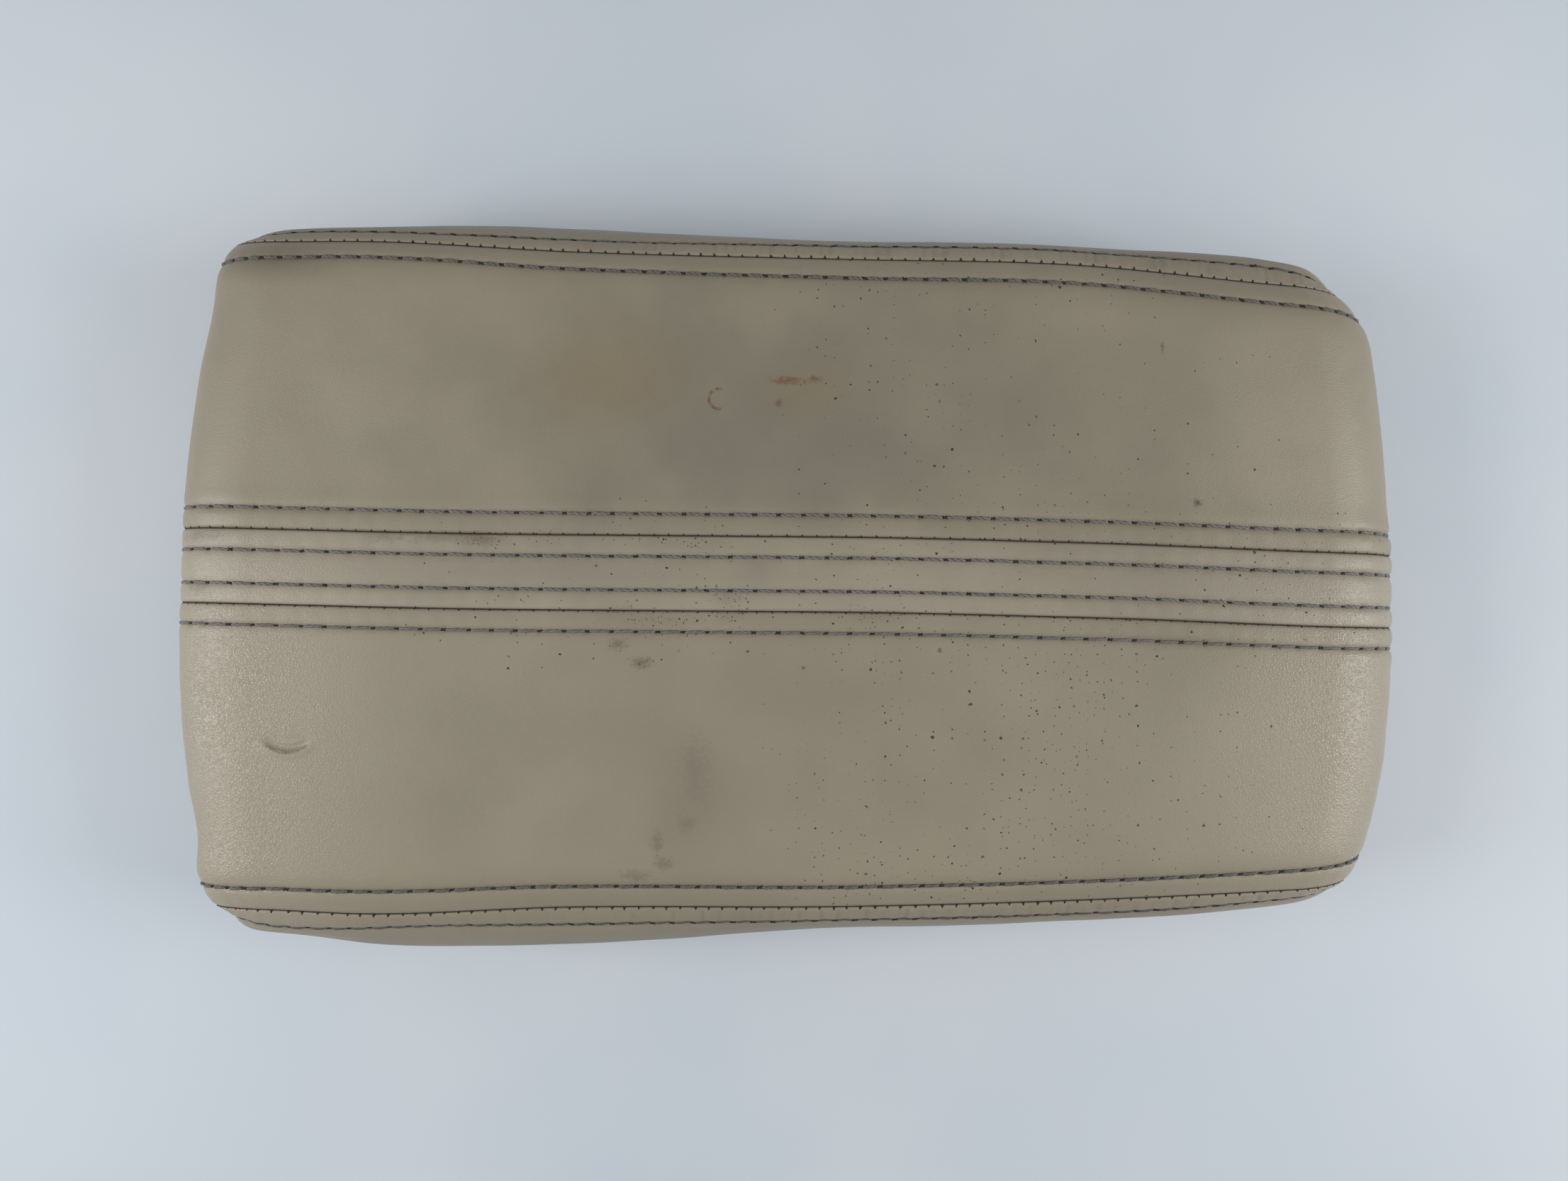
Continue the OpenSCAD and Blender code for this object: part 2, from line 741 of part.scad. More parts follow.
// Hinge
pin_r = hinge_pin_d / 2;
bush_r = pin_r + 0.9;
base_ear_y = 22.5;
lid_ear_y = 27.5;
ear_t = 3;
clip_y = 31.4;
leaf_bottom = liner_height - hinge_plate;
mount_x = hinge_x + 21;
module along_y(y, r, h) {
  translate([hinge_x, y, hinge_height])
    rotate([-90, 0, 0])
      cylinder(r = r, h = h);
}
module hinge_base() {
  color([0.45, 0.45, 0.47])
    difference() {
      union() {
        translate([hinge_x - 3.5, -base_width / 2, 0])
          cube([base_length + 3.5, base_width, hinge_plate]);
        for (y = [base_ear_y, -base_ear_y - ear_t]) {
          along_y(y, hinge_ear_r, ear_t);
          translate([hinge_x - hinge_ear_r, y, 0])
            cube([2 * hinge_ear_r, ear_t, hinge_height]);
        }
      }
      for (y = [base_ear_y, -base_ear_y - ear_t])
        along_y(y - 1, bush_r + 0.02, ear_t + 2);
      for (x = [-1, 1])
        for (y = [-1, 1])
          translate([mount_x + x * mount_pitch_x / 2, y * mount_pitch_y / 2, -1])
            cylinder(d = mount_hole_d, h = hinge_plate + 2);
    }
}
module bush() {
  difference() {
    union() {
      along_y(base_ear_y, bush_r, ear_t);
      along_y(base_ear_y + ear_t, hinge_ear_r - 0.4, 1);
    }
    along_y(base_ear_y - 1, pin_r + 0.05, ear_t + 3);
  }
}
module hinge_bush_left() {
  color([0.9, 0.89, 0.84])
    bush();
}
module hinge_bush_right() {
  color([0.9, 0.89, 0.84])
    mirror([0, 1, 0])
      bush();
}
module leaf_ear() {
  translate([hinge_x, lid_ear_y, hinge_height])
    rotate([90, 0, 0])
      mirror([0, 0, 1])
        linear_extrude(height = ear_t)
          polygon([
            [-2.4, hinge_ear_r * 0.86], [2, -hinge_ear_r * 0.9], [20, leaf_bottom - hinge_height],
            [20, liner_height - hinge_height], [9.5, liner_height - hinge_height]
          ]);
}
module hinge_leaf() {
  color([0.45, 0.45, 0.47])
    difference() {
      union() {
        translate([hinge_x + 8, -36, leaf_bottom])
          cube([34, 72, hinge_plate]);
        for (m = [0, 1])
          mirror([0, m, 0]) {
            leaf_ear();
            along_y(lid_ear_y, hinge_ear_r, ear_t);
          }
      }
      for (y = [lid_ear_y, -lid_ear_y - ear_t])
        along_y(y - 1, pin_r + 0.02, ear_t + 2);
      at_leaf_screws()
        translate([0, 0, leaf_bottom - 1])
          cylinder(r = 2.2, h = hinge_plate + 2);
    }
}
module hinge_leaf_screws() {
  color([0.62, 0.62, 0.64])
    at_leaf_screws()
      screw(leaf_bottom, 2, 4.2, 2.4, 17);
}
module hinge_pin() {
  color([0.72, 0.72, 0.74])
    difference() {
      along_y(-34, pin_r, 68);
      for (y = [clip_y, -clip_y - 0.9])
        difference() {
          along_y(y, pin_r + 1, 0.9);
          along_y(y - 0.1, pin_r - 0.6, 1.1);
        }
    }
}
module hinge_clips() {
  color([0.3, 0.3, 0.32])
    for (y = [clip_y + 0.05, -clip_y - 0.85])
      difference() {
        along_y(y, pin_r + 2, 0.8);
        along_y(y - 1, pin_r - 0.55, 3);
        translate([hinge_x - pin_r + 0.7, y - 1, hinge_height - 6])
          cube([2 * pin_r - 1.4, 3, 6]);
      }
}
hinge_coil_r = pin_r + 0.9 + hinge_wire / 2;
hinge_coil_pitch = hinge_wire + 0.7;
hinge_coil = coil_path(
  hinge_coil_r, hinge_coil_pitch, -90, 360 * hinge_curls + 180,
  [16, hinge_plate + hinge_wire / 2 + 0.1 - hinge_height],
  [17, leaf_bottom - hinge_wire / 2 - 0.1 - hinge_height]
);
module hinge_spring() {
  color([0.55, 0.56, 0.58])
    translate([hinge_x, 0, hinge_height])
      tube(hinge_coil, coil_ups(hinge_coil), hinge_wire / 2, 6);
}

// Latch
latch_r = latch_pin_d / 2;
hub_r = latch_r + 2.2;
cheek_y = 21;
module across(x, y, z, r, h) {
  translate([x, y, z])
    rotate([-90, 0, 0])
      cylinder(r = r, h = h);
}
module latch_housing() {
  color([0.15, 0.15, 0.16])
    difference() {
      union() {
        translate([latch_x - 15, -36, liner_height - 2.2])
          cube([26, 72, 2.2]);
        for (y = [cheek_y, -cheek_y - 3]) {
          across(latch_x, y, latch_height, hub_r, 3);
          translate([latch_x - hub_r, y, latch_height])
            cube([2 * hub_r, 3, liner_height - latch_height]);
        }
      }
      for (y = [cheek_y, -cheek_y - 3])
        across(latch_x, y - 1, latch_height, latch_r + 0.02, 5);
      at_latch_screws()
        translate([0, 0, liner_height - 4])
          cylinder(r = 2, h = 6);
    }
}
module latch_screws() {
  color([0.2, 0.2, 0.21])
    at_latch_screws()
      screw(liner_height - 2.2, 1.75, 3.6, 2.2, 15);
}
module latch_pin() {
  color([0.72, 0.72, 0.74])
    across(latch_x, -cheek_y - 3.6, latch_height, latch_r, 2 * cheek_y + 7.2);
}
module latch_lever() {
  color([0.1, 0.1, 0.1])
    difference() {
      union() {
        across(latch_x, -cheek_y + 0.5, latch_height, hub_r, 2 * cheek_y - 1);
        translate([latch_x, -cheek_y + 0.5, latch_height - 3.8])
          cube([14, 2 * cheek_y - 1, 2.6]);
        translate([latch_x + 13, -paddle_width / 2, latch_height - 3.8])
          cube([11.5, paddle_width, 2.6]);
        for (y = [9, -17])
          translate([latch_x, y, latch_height])
            rotate([90, 0, 0])
              mirror([0, 0, 1])
                linear_extrude(height = 8)
                  polygon([[-3, 0], [2, 0], [2, -6.6], [-5, -6.6], [-7.6, -4.6], [-3, -4.2]]);
      }
      across(latch_x, -cheek_y - 1, latch_height, latch_r + 0.05, 2 * cheek_y + 2);
      translate([latch_x - 6, -6, latch_height - 6])
        cube([11, 12, 12]);
      for (y = [-21, -14, -7, 0, 7, 14, 21])
        translate([latch_x + 14.5, y - 1, latch_height - 4])
          cube([8.5, 2, 0.7]);
    }
}
latch_coil_r = latch_r + 0.7 + latch_wire / 2;
latch_coil_pitch = latch_wire + 0.6;
latch_coil = coil_path(
  latch_coil_r, latch_coil_pitch, 75, 360 * latch_curls - 30,
  [-9, liner_height - 2.2 - latch_wire / 2 - 0.1 - latch_height],
  [9, latch_wire / 2 + 0.1 - 1.2]
);
module latch_spring() {
  color([0.6, 0.61, 0.63])
    translate([latch_x, 0, latch_height])
      tube(latch_coil, coil_ups(latch_coil), latch_wire / 2, 6);
}

echo(hinge_spring_gap = self_gap(hinge_coil, hinge_wire));
echo(latch_spring_gap = self_gap(latch_coil, latch_wire));

cover_left_panel();
cover_centre_strip();
cover_right_panel();
cover_left_side();
cover_right_side();
strip_topstitch();
edge_topstitch();
foam_pad();
carrier();
cover_staples();
liner();
liner_screws();
bumper_front_left();
bumper_front_right();
bumper_rear_left();
bumper_rear_right();
hinge_base();
hinge_bush_left();
hinge_bush_right();
hinge_leaf();
hinge_leaf_screws();
hinge_pin();
hinge_clips();
hinge_spring();
latch_housing();
latch_screws();
latch_pin();
latch_lever();
latch_spring();
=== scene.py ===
import json
import math

import bmesh
import bpy
import numpy as np
from mathutils import Matrix, Vector


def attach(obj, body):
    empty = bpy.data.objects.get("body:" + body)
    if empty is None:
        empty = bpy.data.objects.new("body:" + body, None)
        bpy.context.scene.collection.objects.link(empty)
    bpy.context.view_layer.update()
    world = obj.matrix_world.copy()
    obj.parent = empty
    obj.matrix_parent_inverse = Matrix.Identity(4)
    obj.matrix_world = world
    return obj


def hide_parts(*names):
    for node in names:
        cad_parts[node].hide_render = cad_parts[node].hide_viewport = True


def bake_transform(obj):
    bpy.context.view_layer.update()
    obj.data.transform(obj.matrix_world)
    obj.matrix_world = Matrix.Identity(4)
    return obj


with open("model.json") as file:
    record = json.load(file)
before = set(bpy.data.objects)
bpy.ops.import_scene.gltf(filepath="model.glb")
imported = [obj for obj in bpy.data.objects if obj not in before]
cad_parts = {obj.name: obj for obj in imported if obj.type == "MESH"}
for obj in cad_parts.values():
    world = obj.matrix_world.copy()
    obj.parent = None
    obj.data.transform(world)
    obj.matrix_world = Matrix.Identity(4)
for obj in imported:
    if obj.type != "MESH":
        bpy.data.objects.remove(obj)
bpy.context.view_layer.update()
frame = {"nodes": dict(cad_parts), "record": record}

# A padded armrest lid: sewn leather over foam, thread, springs, materials, light and camera.
# Shapes are worked out in millimetres, with the front at +X, the left at +Y and the top at +Z.

MM = 0.001
QUARTER, TURN = math.pi / 2, 2 * math.pi
FLIP = np.array([1, -1, 1])  # from one side of the lid to the other

# The pad, with the same values as the CAD source
HALF, TOP = 150, 57
WIDTH_MID, WIDTH_SLOPE = 77.5, -0.03
FLARE, FLARE_DEPTH = 12, 7
REAR_ROLL, FRONT_ROLL = (20, 12), (23, 22)
REAR_BOW, FRONT_BOW, BOW_POWER = 5, 8, 2.4
CROWN, LENGTH_CROWN = 1.7, 1.5
EDGE_DROP, EDGE_BAND = 4.5, 12
REAR_CORNER, FRONT_CORNER = 12, 15
REAR_RIM, FRONT_RIM = 15, 5
LIFT_START, LIFT_END = 104, 138
HALF_STRIP = 9.3
SHIFT_A, SHIFT_B = 3.3 - 82 / 3, 1 / 3
GAP, SIDE_ROW = 5.1, 4.85
LEATHER = 1.6
WRAP_DEPTH, FLANGE_TOP, WRAP_SEAM_Z = 11.3, 25, 38.3
FOAM_SKIN = dict(inset=2, drop=2, lift=3.2, rear=(18, 10), front=(21, 20))
FOAM_CORE = dict(inset=6.4, drop=16, lift=3.2, rear=(8.2, 8.2), front=(8.2, 8.2))

# What the photo shows and the CAD source leaves out
FOLD_R, WRAP_R = 3.2, 2.4
LIP, LIP_DEPTH, SEAM_SLIT = 0.7, 0.8, 0.03
STRIP_PITCH, EDGE_PITCH, PITCH_PLAY = 5.6, 4.95, 0.22
STRIP_NOTCH, EDGE_NOTCH = 3.5, 3.45
STRIP_THREAD, EDGE_THREAD, SIDE_THREAD = 0.8, 0.95, 0.85

# Steps of the meshes along the length: end walls, rolled ends and flat top
WALL_STEPS, REAR_STEPS, FRONT_STEPS, TOP_STEPS = 14, 28, 38, 320


def smooth(v):
    c = np.clip(v, 0, 1)
    return c * c * (3 - 2 * c)


def bell(v, width):
    return np.exp(-((v / width) ** 2))


def unit(v):
    return v / np.linalg.norm(v, axis=-1, keepdims=True)


def seam_half(x):
    return WIDTH_MID + WIDTH_SLOPE * x


def strip_shift(w):
    return SHIFT_A + SHIFT_B * w


def sag(x):
    return LENGTH_CROWN * (x / HALF) ** 2


def base_z(x):
    return FRONT_RIM + (REAR_RIM - FRONT_RIM) * smooth((-x - LIFT_START) / (LIFT_END - LIFT_START))


def cross_drop(y, w):
    band = np.clip((np.abs(y) - w + EDGE_BAND) / EDGE_BAND, 0, None)
    return CROWN * (y / w) ** 2 + EDGE_DROP * band**2


def waves(x, y, seed, count, shortest, longest):
    """Smooth unevenness about zero, the sum of a few seeded plane waves."""
    rng = np.random.default_rng(seed)
    total = 0
    for _ in range(count):
        turn, phase = rng.uniform(0, TURN, 2)
        k = TURN / rng.uniform(shortest, longest)
        total = total + np.sin(k * (x * math.cos(turn) + y * math.sin(turn)) + phase)
    return total / math.sqrt(count)


# Stations along the length: one lengthwise section of the leather, rear flange to front flange


def rolled(wall, low, across, up, steps):
    """The rolled edge from an end wall to the top: distance out, height, normal out, normal up."""
    t = np.linspace(0, QUARTER, steps + 1)
    out = wall - across * (1 - np.cos(t))
    normal = unit(np.stack([np.cos(t) / across, np.sin(t) / up], -1))
    return np.column_stack([out, low + up * np.sin(t) - sag(out), normal])


def end_rows(o, rim, roll, steps):
    """One end of the section, from the turned-in flange under the rim and up to the flat top.

    o is the depth below the leather's face. Columns: distance out, height, normal out,
    normal up, base normal out, base normal up, inset of the sides.
    """
    r_out, r_in = FOLD_R - o, WRAP_R - o
    centre = WRAP_DEPTH - WRAP_R
    rows = []

    def add(v, z, out, up):
        rows.append((HALF - v, z, out, up, 1, 0, v))

    for z in np.linspace(FLANGE_TOP, rim + WRAP_R, 4)[:-1]:
        add(centre + r_in, z, -1, 0)
    for a in np.linspace(0, QUARTER, 5):
        add(centre + r_in * math.cos(a), rim + WRAP_R - r_in * math.sin(a), -math.cos(a), -math.sin(a))
    for v in np.linspace(centre, FOLD_R, 4)[1:-1]:
        add(v, rim + o, 0, -1)
    for a in np.linspace(0, QUARTER, 6):
        add(FOLD_R - r_out * math.sin(a), rim + FOLD_R - r_out * math.cos(a), math.sin(a), -math.cos(a))
    for z in np.linspace(rim + FOLD_R, TOP - roll[1] - sag(HALF - o), WALL_STEPS + 1)[1:-1]:
        add(o, z, 1, 0)
    edge = rolled(HALF - o, TOP - roll[1], roll[0] - o, roll[1] - o, steps)
    return np.concatenate([rows, np.column_stack([edge, edge[:, 2:], np.full(len(edge), o)])])


def stations(o):
    """The whole section as columns of shape (stations, 1), and the number of its first rolled row."""
    rear = end_rows(o, REAR_RIM, REAR_ROLL, REAR_STEPS)
    front = end_rows(o, FRONT_RIM, FRONT_ROLL, FRONT_STEPS)[::-1]
    x = np.linspace(REAR_ROLL[0] - HALF, HALF - FRONT_ROLL[0], TOP_STEPS + 1)[1:-1]
    one, nil = np.ones_like(x), np.zeros_like(x)
    top = np.stack([x, TOP - o - sag(x), nil, one, nil, one, o * one], -1)
    rear[:, [0, 2, 4]] *= -1
    table = np.concatenate([rear, top, front])
    names = ["x", "z", "nx", "nz", "bx", "bz", "inset"]
    return {k: table[:, i : i + 1] for i, k in enumerate(names)}, len(rear) - REAR_STEPS - 1


FACE, FIRST = stations(0)
BACK = stations(LEATHER)[0]
STEP = np.hypot(np.diff(FACE["x"][:, 0]), np.diff(FACE["z"][:, 0]))
S_LINE = np.concatenate([[0], np.cumsum(STEP)])
S = S_LINE[:, None]
LAST = len(S) - 1 - FIRST
ROLLED_END, ROLLED_START = FIRST + REAR_STEPS, LAST - FRONT_STEPS
S_FIRST_WALL, S_LAST_WALL = S_LINE[FIRST - WALL_STEPS], S_LINE[LAST + WALL_STEPS]
# Detail fades out where the leather turns under the rim
FADE = 4
SHOWN = smooth((S - S_FIRST_WALL) / FADE) * smooth((S_LAST_WALL - S) / FADE)
# The front end is drawn tighter than the rest, so its rows bite deeper
DRAWN_BEFORE, DRAWN_OVER = 4, 16
FRONT_PULL = smooth((S - S_LINE[ROLLED_START] + DRAWN_BEFORE) / DRAWN_OVER)


def top_base(st, a, b):
    """Points on the lines y = a + b * half seam width, before any sewing detail."""
    w = seam_half(st["x"])
    y = a + b * w
    t = y / w
    d = cross_drop(y, w)
    bow = np.where(st["x"] < 0, REAR_BOW, FRONT_BOW)
    x = (st["x"] - st["bx"] * d) * (1 - bow / HALF * np.abs(t) ** BOW_POWER)
    return np.stack([x, t * (w - st["inset"]), st["z"] - st["bz"] * d], -1), y, w


def normals_of(st):
    return np.hstack([st["nx"], 0 * st["nx"], st["nz"]])


def sunk(points, st, depth):
    return points - normals_of(st)[:, None, :] * depth[..., None]


def curve(x, places, values):
    """Smooth curve through a few places, level beyond the first and the last."""
    p, v = np.asarray(places), np.asarray(values)
    slope = np.gradient(v, p)
    i = np.clip(np.searchsorted(p, x) - 1, 0, len(p) - 2)
    h = p[i + 1] - p[i]
    t = np.clip((x - p[i]) / h, 0, 1)
    left = (1 + 2 * t) * (1 - t) ** 2 * v[i] + t * (1 - t) ** 2 * h * slope[i]
    return left + t**2 * (3 - 2 * t) * v[i + 1] + t**2 * (t - 1) * h * slope[i + 1]


# How far the used cover lies outside its drawn lines: top row, seam, outer row and outline of each side
SETTLED_X = [-150, -130, -105, -55, 10, 66, 115, 150]
SETTLED_UP = [
    [-0.3, 0.2, 1.2, 0.3, 0.8, 1.9, -0.8, -2.6],
    [-0.1, 0, 0.9, 0.3, 1.2, 2.3, -0.2, -1.6],
    [0.5, 0.5, 0.6, 0.3, 1.4, 2.9, 2.1, 2.4],
    [-1.6, -2, -1.2, -0.4, -0.7, 1, 1.6, 2],
]
SETTLED_LOW = [
    [-2.8, -2.7, -1.5, -1.6, 0.1, 0.2, -0.8, -2.6],
    [-2.4, -2.1, -0.5, -1, 0.4, 0.4, -0.5, -1.8],
    [2.2, 0.8, 0.3, -0.2, 0.6, 0.5, 0, 0.6],
    [-0.6, -1.2, 1, 1, -1.1, -1.7, -1.6, 0],
]
# The same for the two ends, across the width
END_Y = [-84, -76, -68, -50, 0, 50, 68, 84]
END_REAR = [-3, -1.8, 0.1, -0.6, -0.7, 0.5, 1.6, -0.9]
END_FRONT = [4.6, 3.6, 1, 0.3, -0.8, 0, 1.1, 1.6]
# Where each move starts and over which distance it grows
PANEL_FROM, PANEL_OVER = 22, 50
OUTER_OVER = 3.7
OUTLINE_FROM, OUTLINE_OVER = 3.4, 7
END_FROM, END_OVER = 108, 32
HELD_FROM, HELD_OVER = 4, 14
# The strip: bends as height, place and width, its turn near the front, and how much it lies off and narrow
STRIP_BENDS = [(0.45, 25, 42), (-0.45, -85, 45)]
STRIP_TURN_FROM, STRIP_TURN_OVER = 70, 65
STRIP_OFF, STRIP_NARROW = 0.25, 0.5


def settled(points):
    """The cover as it has settled in use: seams and outline a little off the drawn lines, as in the photo."""
    x, y, z = points[..., 0], points[..., 1], points[..., 2]
    up, out = y > 0, np.abs(y) - seam_half(x)
    inner, seam, outer, outline = (
        np.where(up, curve(x, SETTLED_X, a), curve(x, SETTLED_X, b)) for a, b in zip(SETTLED_UP, SETTLED_LOW)
    )
    panel = smooth((np.abs(y) - PANEL_FROM) / PANEL_OVER)
    move = panel * inner + smooth(out / GAP + 1) * (seam - inner) + smooth(out / OUTER_OVER) * (outer - seam)
    move = move + smooth((out - OUTLINE_FROM) / OUTLINE_OVER) * (outline - outer)
    strip = sum(height * bell(x - place, width) for height, place, width in STRIP_BENDS)
    strip = strip - smooth((x - STRIP_TURN_FROM) / STRIP_TURN_OVER)
    strip = strip - STRIP_OFF - STRIP_NARROW * np.clip(y / HALF_STRIP, -1, 1)
    move = np.where(up, move, -move) + (1 - panel) * strip
    slide = curve(y, END_Y, END_REAR) * smooth((-x - END_FROM) / END_OVER)
    slide = slide + curve(y, END_Y, END_FRONT) * smooth((x - END_FROM) / END_OVER)
    held = smooth((z - base_z(x) - HELD_FROM) / HELD_OVER)
    return points + np.stack([held * slide, held * move, 0 * x], -1)


def mirror_settled(points):
    return settled(points * FLIP) * FLIP


# Sewing detail in the leather


def needle_places(seed, pitch, start, end):
    rng = np.random.default_rng(seed)
    count = int((end - start) / pitch)
    at = start + (end - start) * np.arange(count + 1) / count
    return at + rng.uniform(-PITCH_PLAY, PITCH_PLAY, count + 1)


ROW_MARGIN, SIDE_MARGIN, NOTCH_MARGIN = 2, 1, 3
ROW_START, ROW_END = S_FIRST_WALL + ROW_MARGIN, S_LAST_WALL - ROW_MARGIN
# Four rows beside the strip, from left to right, and two beside the edges
STRIP_HOLES = [needle_places(seed, STRIP_PITCH, ROW_START, ROW_END) for seed in (10, 11, 12, 13)]
EDGE_HOLES = [needle_places(seed, EDGE_PITCH, ROW_START, ROW_END) for seed in (20, 21)]


def nearest(s, places):
    i = np.clip(np.searchsorted(places, s), 1, len(places) - 1)
    return np.minimum(np.abs(s - places[i - 1]), np.abs(s - places[i]))


# Depths of the row and its needle holes, heights of the pillow before it and the ridge beyond it,
# and what the drawn front end adds
ROW_DEPTH, ROW_DRAWN, HOLE_DEPTH = 0.28, 0.22, 0.34
PILLOW, PILLOW_DRAWN, PILLOW_DIP, PILLOW_LONG = 0.26, 0.2, 0.14, 2.6
RIDGE, RIDGE_DRAWN, RIDGE_AT = 0.12, 0.1, 2.7


def seam_depth(q, gap, near_hole, pull):
    """Depth of the leather at distance q from a seam: its turned edge, and its row with the pillows."""
    u = np.clip(1 - q / LIP, 0, 1)
    row = bell(q - gap, 0.8) * (ROW_DEPTH + ROW_DRAWN * pull)
    hole = bell(q - gap, 0.6) * bell(near_hole, 0.8) * HOLE_DEPTH
    pillow = np.sin(math.pi * np.clip(q / gap, 0, 1)) * (PILLOW + PILLOW_DRAWN * pull)
    wave = np.cos(math.pi * np.clip(near_hole / PILLOW_LONG, 0, 1) + math.pi)
    pillow = pillow * (1 - PILLOW_DIP + PILLOW_DIP * wave)
    ridge = bell(q - gap - RIDGE_AT, 1.8) * (RIDGE + RIDGE_DRAWN * pull)
    return LIP_DEPTH * (1 - np.sqrt(1 - u * u)), row + hole - pillow - ridge


def dirt_and_shade_line(q, gap, near_hole):
    """How much the leather is darkened near a seam, from 0 to 1: dirt and painted shade in the seam's groove and
    along its row.
    """
    return np.clip(0.9 * bell(q, 0.24) + bell(q - gap, 0.5) * (0.3 + 0.5 * bell(near_hole, 0.7)), 0, 1)


def unevenness(points, seed):
    x, y = points[..., 0], points[..., 1]
    broad = 0.2 * waves(x, y, seed, 7, 45, 120) + 0.05 * waves(x, y, seed + 1, 7, 14, 30)
    fine = 0.045 * waves(x + points[..., 2], y, seed + 2, 9, 3.5, 8)
    return broad + fine * FRONT_PULL


DENT_AT, DENT_R = (-120.2, -34.2), 6.7
DENT_REACH, DENT_FADE = 1.05, 0.6  # half its angle, and the angle over which it ends
DENT_DEPTH, DENT_HOLLOW, DENT_RIM, DENT_HALF = 0.8, 0.34, 0.32, 1.6


def crescent(points):
    """The small crescent dent that the photo shows in the right panel near the rear end."""
    dx, dy = points[..., 0] - DENT_AT[0], points[..., 1] - DENT_AT[1]
    reach = smooth((DENT_REACH - np.abs(np.arctan2(dy, dx) + QUARTER)) / DENT_FADE)
    ring = np.hypot(dx, dy) - DENT_R
    hollow, rim = DENT_HOLLOW * bell(ring + DENT_HALF, 1.4), DENT_RIM * bell(ring - DENT_HALF, 1)
    return reach * (DENT_DEPTH * bell(ring, 0.6) + hollow - rim)


# Meshes


def linked(name, data):
    obj = bpy.data.objects.new(name, data)
    bpy.context.scene.collection.objects.link(obj)
    return obj


def smooth_object(name, mesh):
    mesh.polygons.foreach_set("use_smooth", [True] * len(mesh.polygons))
    mesh.update()
    return linked(name, mesh)


def mesh_object(name, points, faces, dirt_and_shade=None):
    mesh = bpy.data.meshes.new(name)
    mesh.from_pydata((np.asarray(points) * MM).tolist(), [], faces)
    # The darkening attribute made here stands for real dirt and for painted shade: in seams, rows and creases of
    # the leather and on the thread.
    if dirt_and_shade is not None:
        mesh.attributes.new("dirt_and_shade", "FLOAT", "POINT").data.foreach_set("value", dirt_and_shade.astype(np.float32))
    return smooth_object(name, mesh)


def mirrored(points, faces, *dirt_and_shade):
    return (points * FLIP, [f[::-1] for f in faces], *dirt_and_shade)


def zipper(chain, breaks, back):
    """Triangles between a fine edge of the face and the coarser edge of the back."""
    faces = []
    for j in range(len(breaks) - 1):
        lo, hi = breaks[j], breaks[j + 1]
        mid = (lo + hi) // 2
        faces += [(chain[i + 1], chain[i], back[j]) for i in range(lo, mid)]
        faces.append((chain[mid], back[j], back[j + 1]))
        faces += [(chain[i + 1], chain[i], back[j + 1]) for i in range(mid, hi)]
    return faces


# How much the cut edges and backs of the sheets are darkened: dirt and painted shade where they show in the seams.
EDGE_DIRT_AND_SHADE = 0.6


def closed_sheet(name, face, back, dirt_and_shade, rows, cols, flip):
    """Leather of real thickness: a fine face, a coarse back and a strip round the edge."""
    n_rows, n_cols = face.shape[:2]
    f = np.arange(n_rows * n_cols).reshape(n_rows, n_cols)
    g = f.size + np.arange(len(rows) * len(cols)).reshape(len(rows), len(cols))
    quads = np.stack([f[:-1, :-1], f[1:, :-1], f[1:, 1:], f[:-1, 1:]], -1).reshape(-1, 4)
    under = np.stack([g[:-1, :-1], g[:-1, 1:], g[1:, 1:], g[1:, :-1]], -1).reshape(-1, 4)
    faces = quads.tolist() + under.tolist()
    turned_rows = [n_rows - 1 - r for r in rows[::-1]]
    turned_cols = [n_cols - 1 - c for c in cols[::-1]]
    for chain, breaks, behind in (
        (f[:, 0], rows, g[:, 0]),
        (f[-1], cols, g[-1]),
        (f[::-1, -1], turned_rows, g[::-1, -1]),
        (f[0, ::-1], turned_cols, g[0, ::-1]),
    ):
        faces += zipper(chain.tolist(), breaks, behind.tolist())
    points = np.concatenate([face.reshape(-1, 3), back[np.ix_(rows, cols)].reshape(-1, 3)])
    if flip:
        points, faces = mirrored(points, faces)
    return mesh_object(name, points, faces, np.concatenate([dirt_and_shade.ravel(), np.full(g.size, EDGE_DIRT_AND_SHADE)]))


def thinned(count, step, keep=()):
    return sorted(set(range(0, count, step)) | {0, count - 1} | set(keep))


# Top panels and strip

NEAR_SEAM = [SEAM_SLIT, 0.08, 0.2, 0.42, 0.85, 1.5, 2.3, 3.1, 3.8, 4.3, 4.7, 5.1, 5.5, 5.9, 6.4, 7.1, 8, 9.2]
MIDDLE_LINES = 25
DENT_LINES = np.arange(0.2035, 0.52, 0.0115)  # finer lines of the right panel, around its dent
CLEAR_OF_SEAM = 8
EDGE_DRAWN = 0.4


def panel_lines(side, finer=()):
    """Lines of a top panel as [a, b], from the strip's seam to the edge seam."""
    q = np.array(NEAR_SEAM)
    inner = np.stack([HALF_STRIP + q + side * SHIFT_A, np.full_like(q, side * SHIFT_B)], -1)
    outer = np.stack([-q, np.ones_like(q)], -1)[::-1]
    f = np.sort(np.concatenate([np.linspace(0, 1, MIDDLE_LINES + 2)[1:-1], finer]))[:, None]
    return np.concatenate([inner, (1 - f) * inner[-1] + f * outer[0], outer])


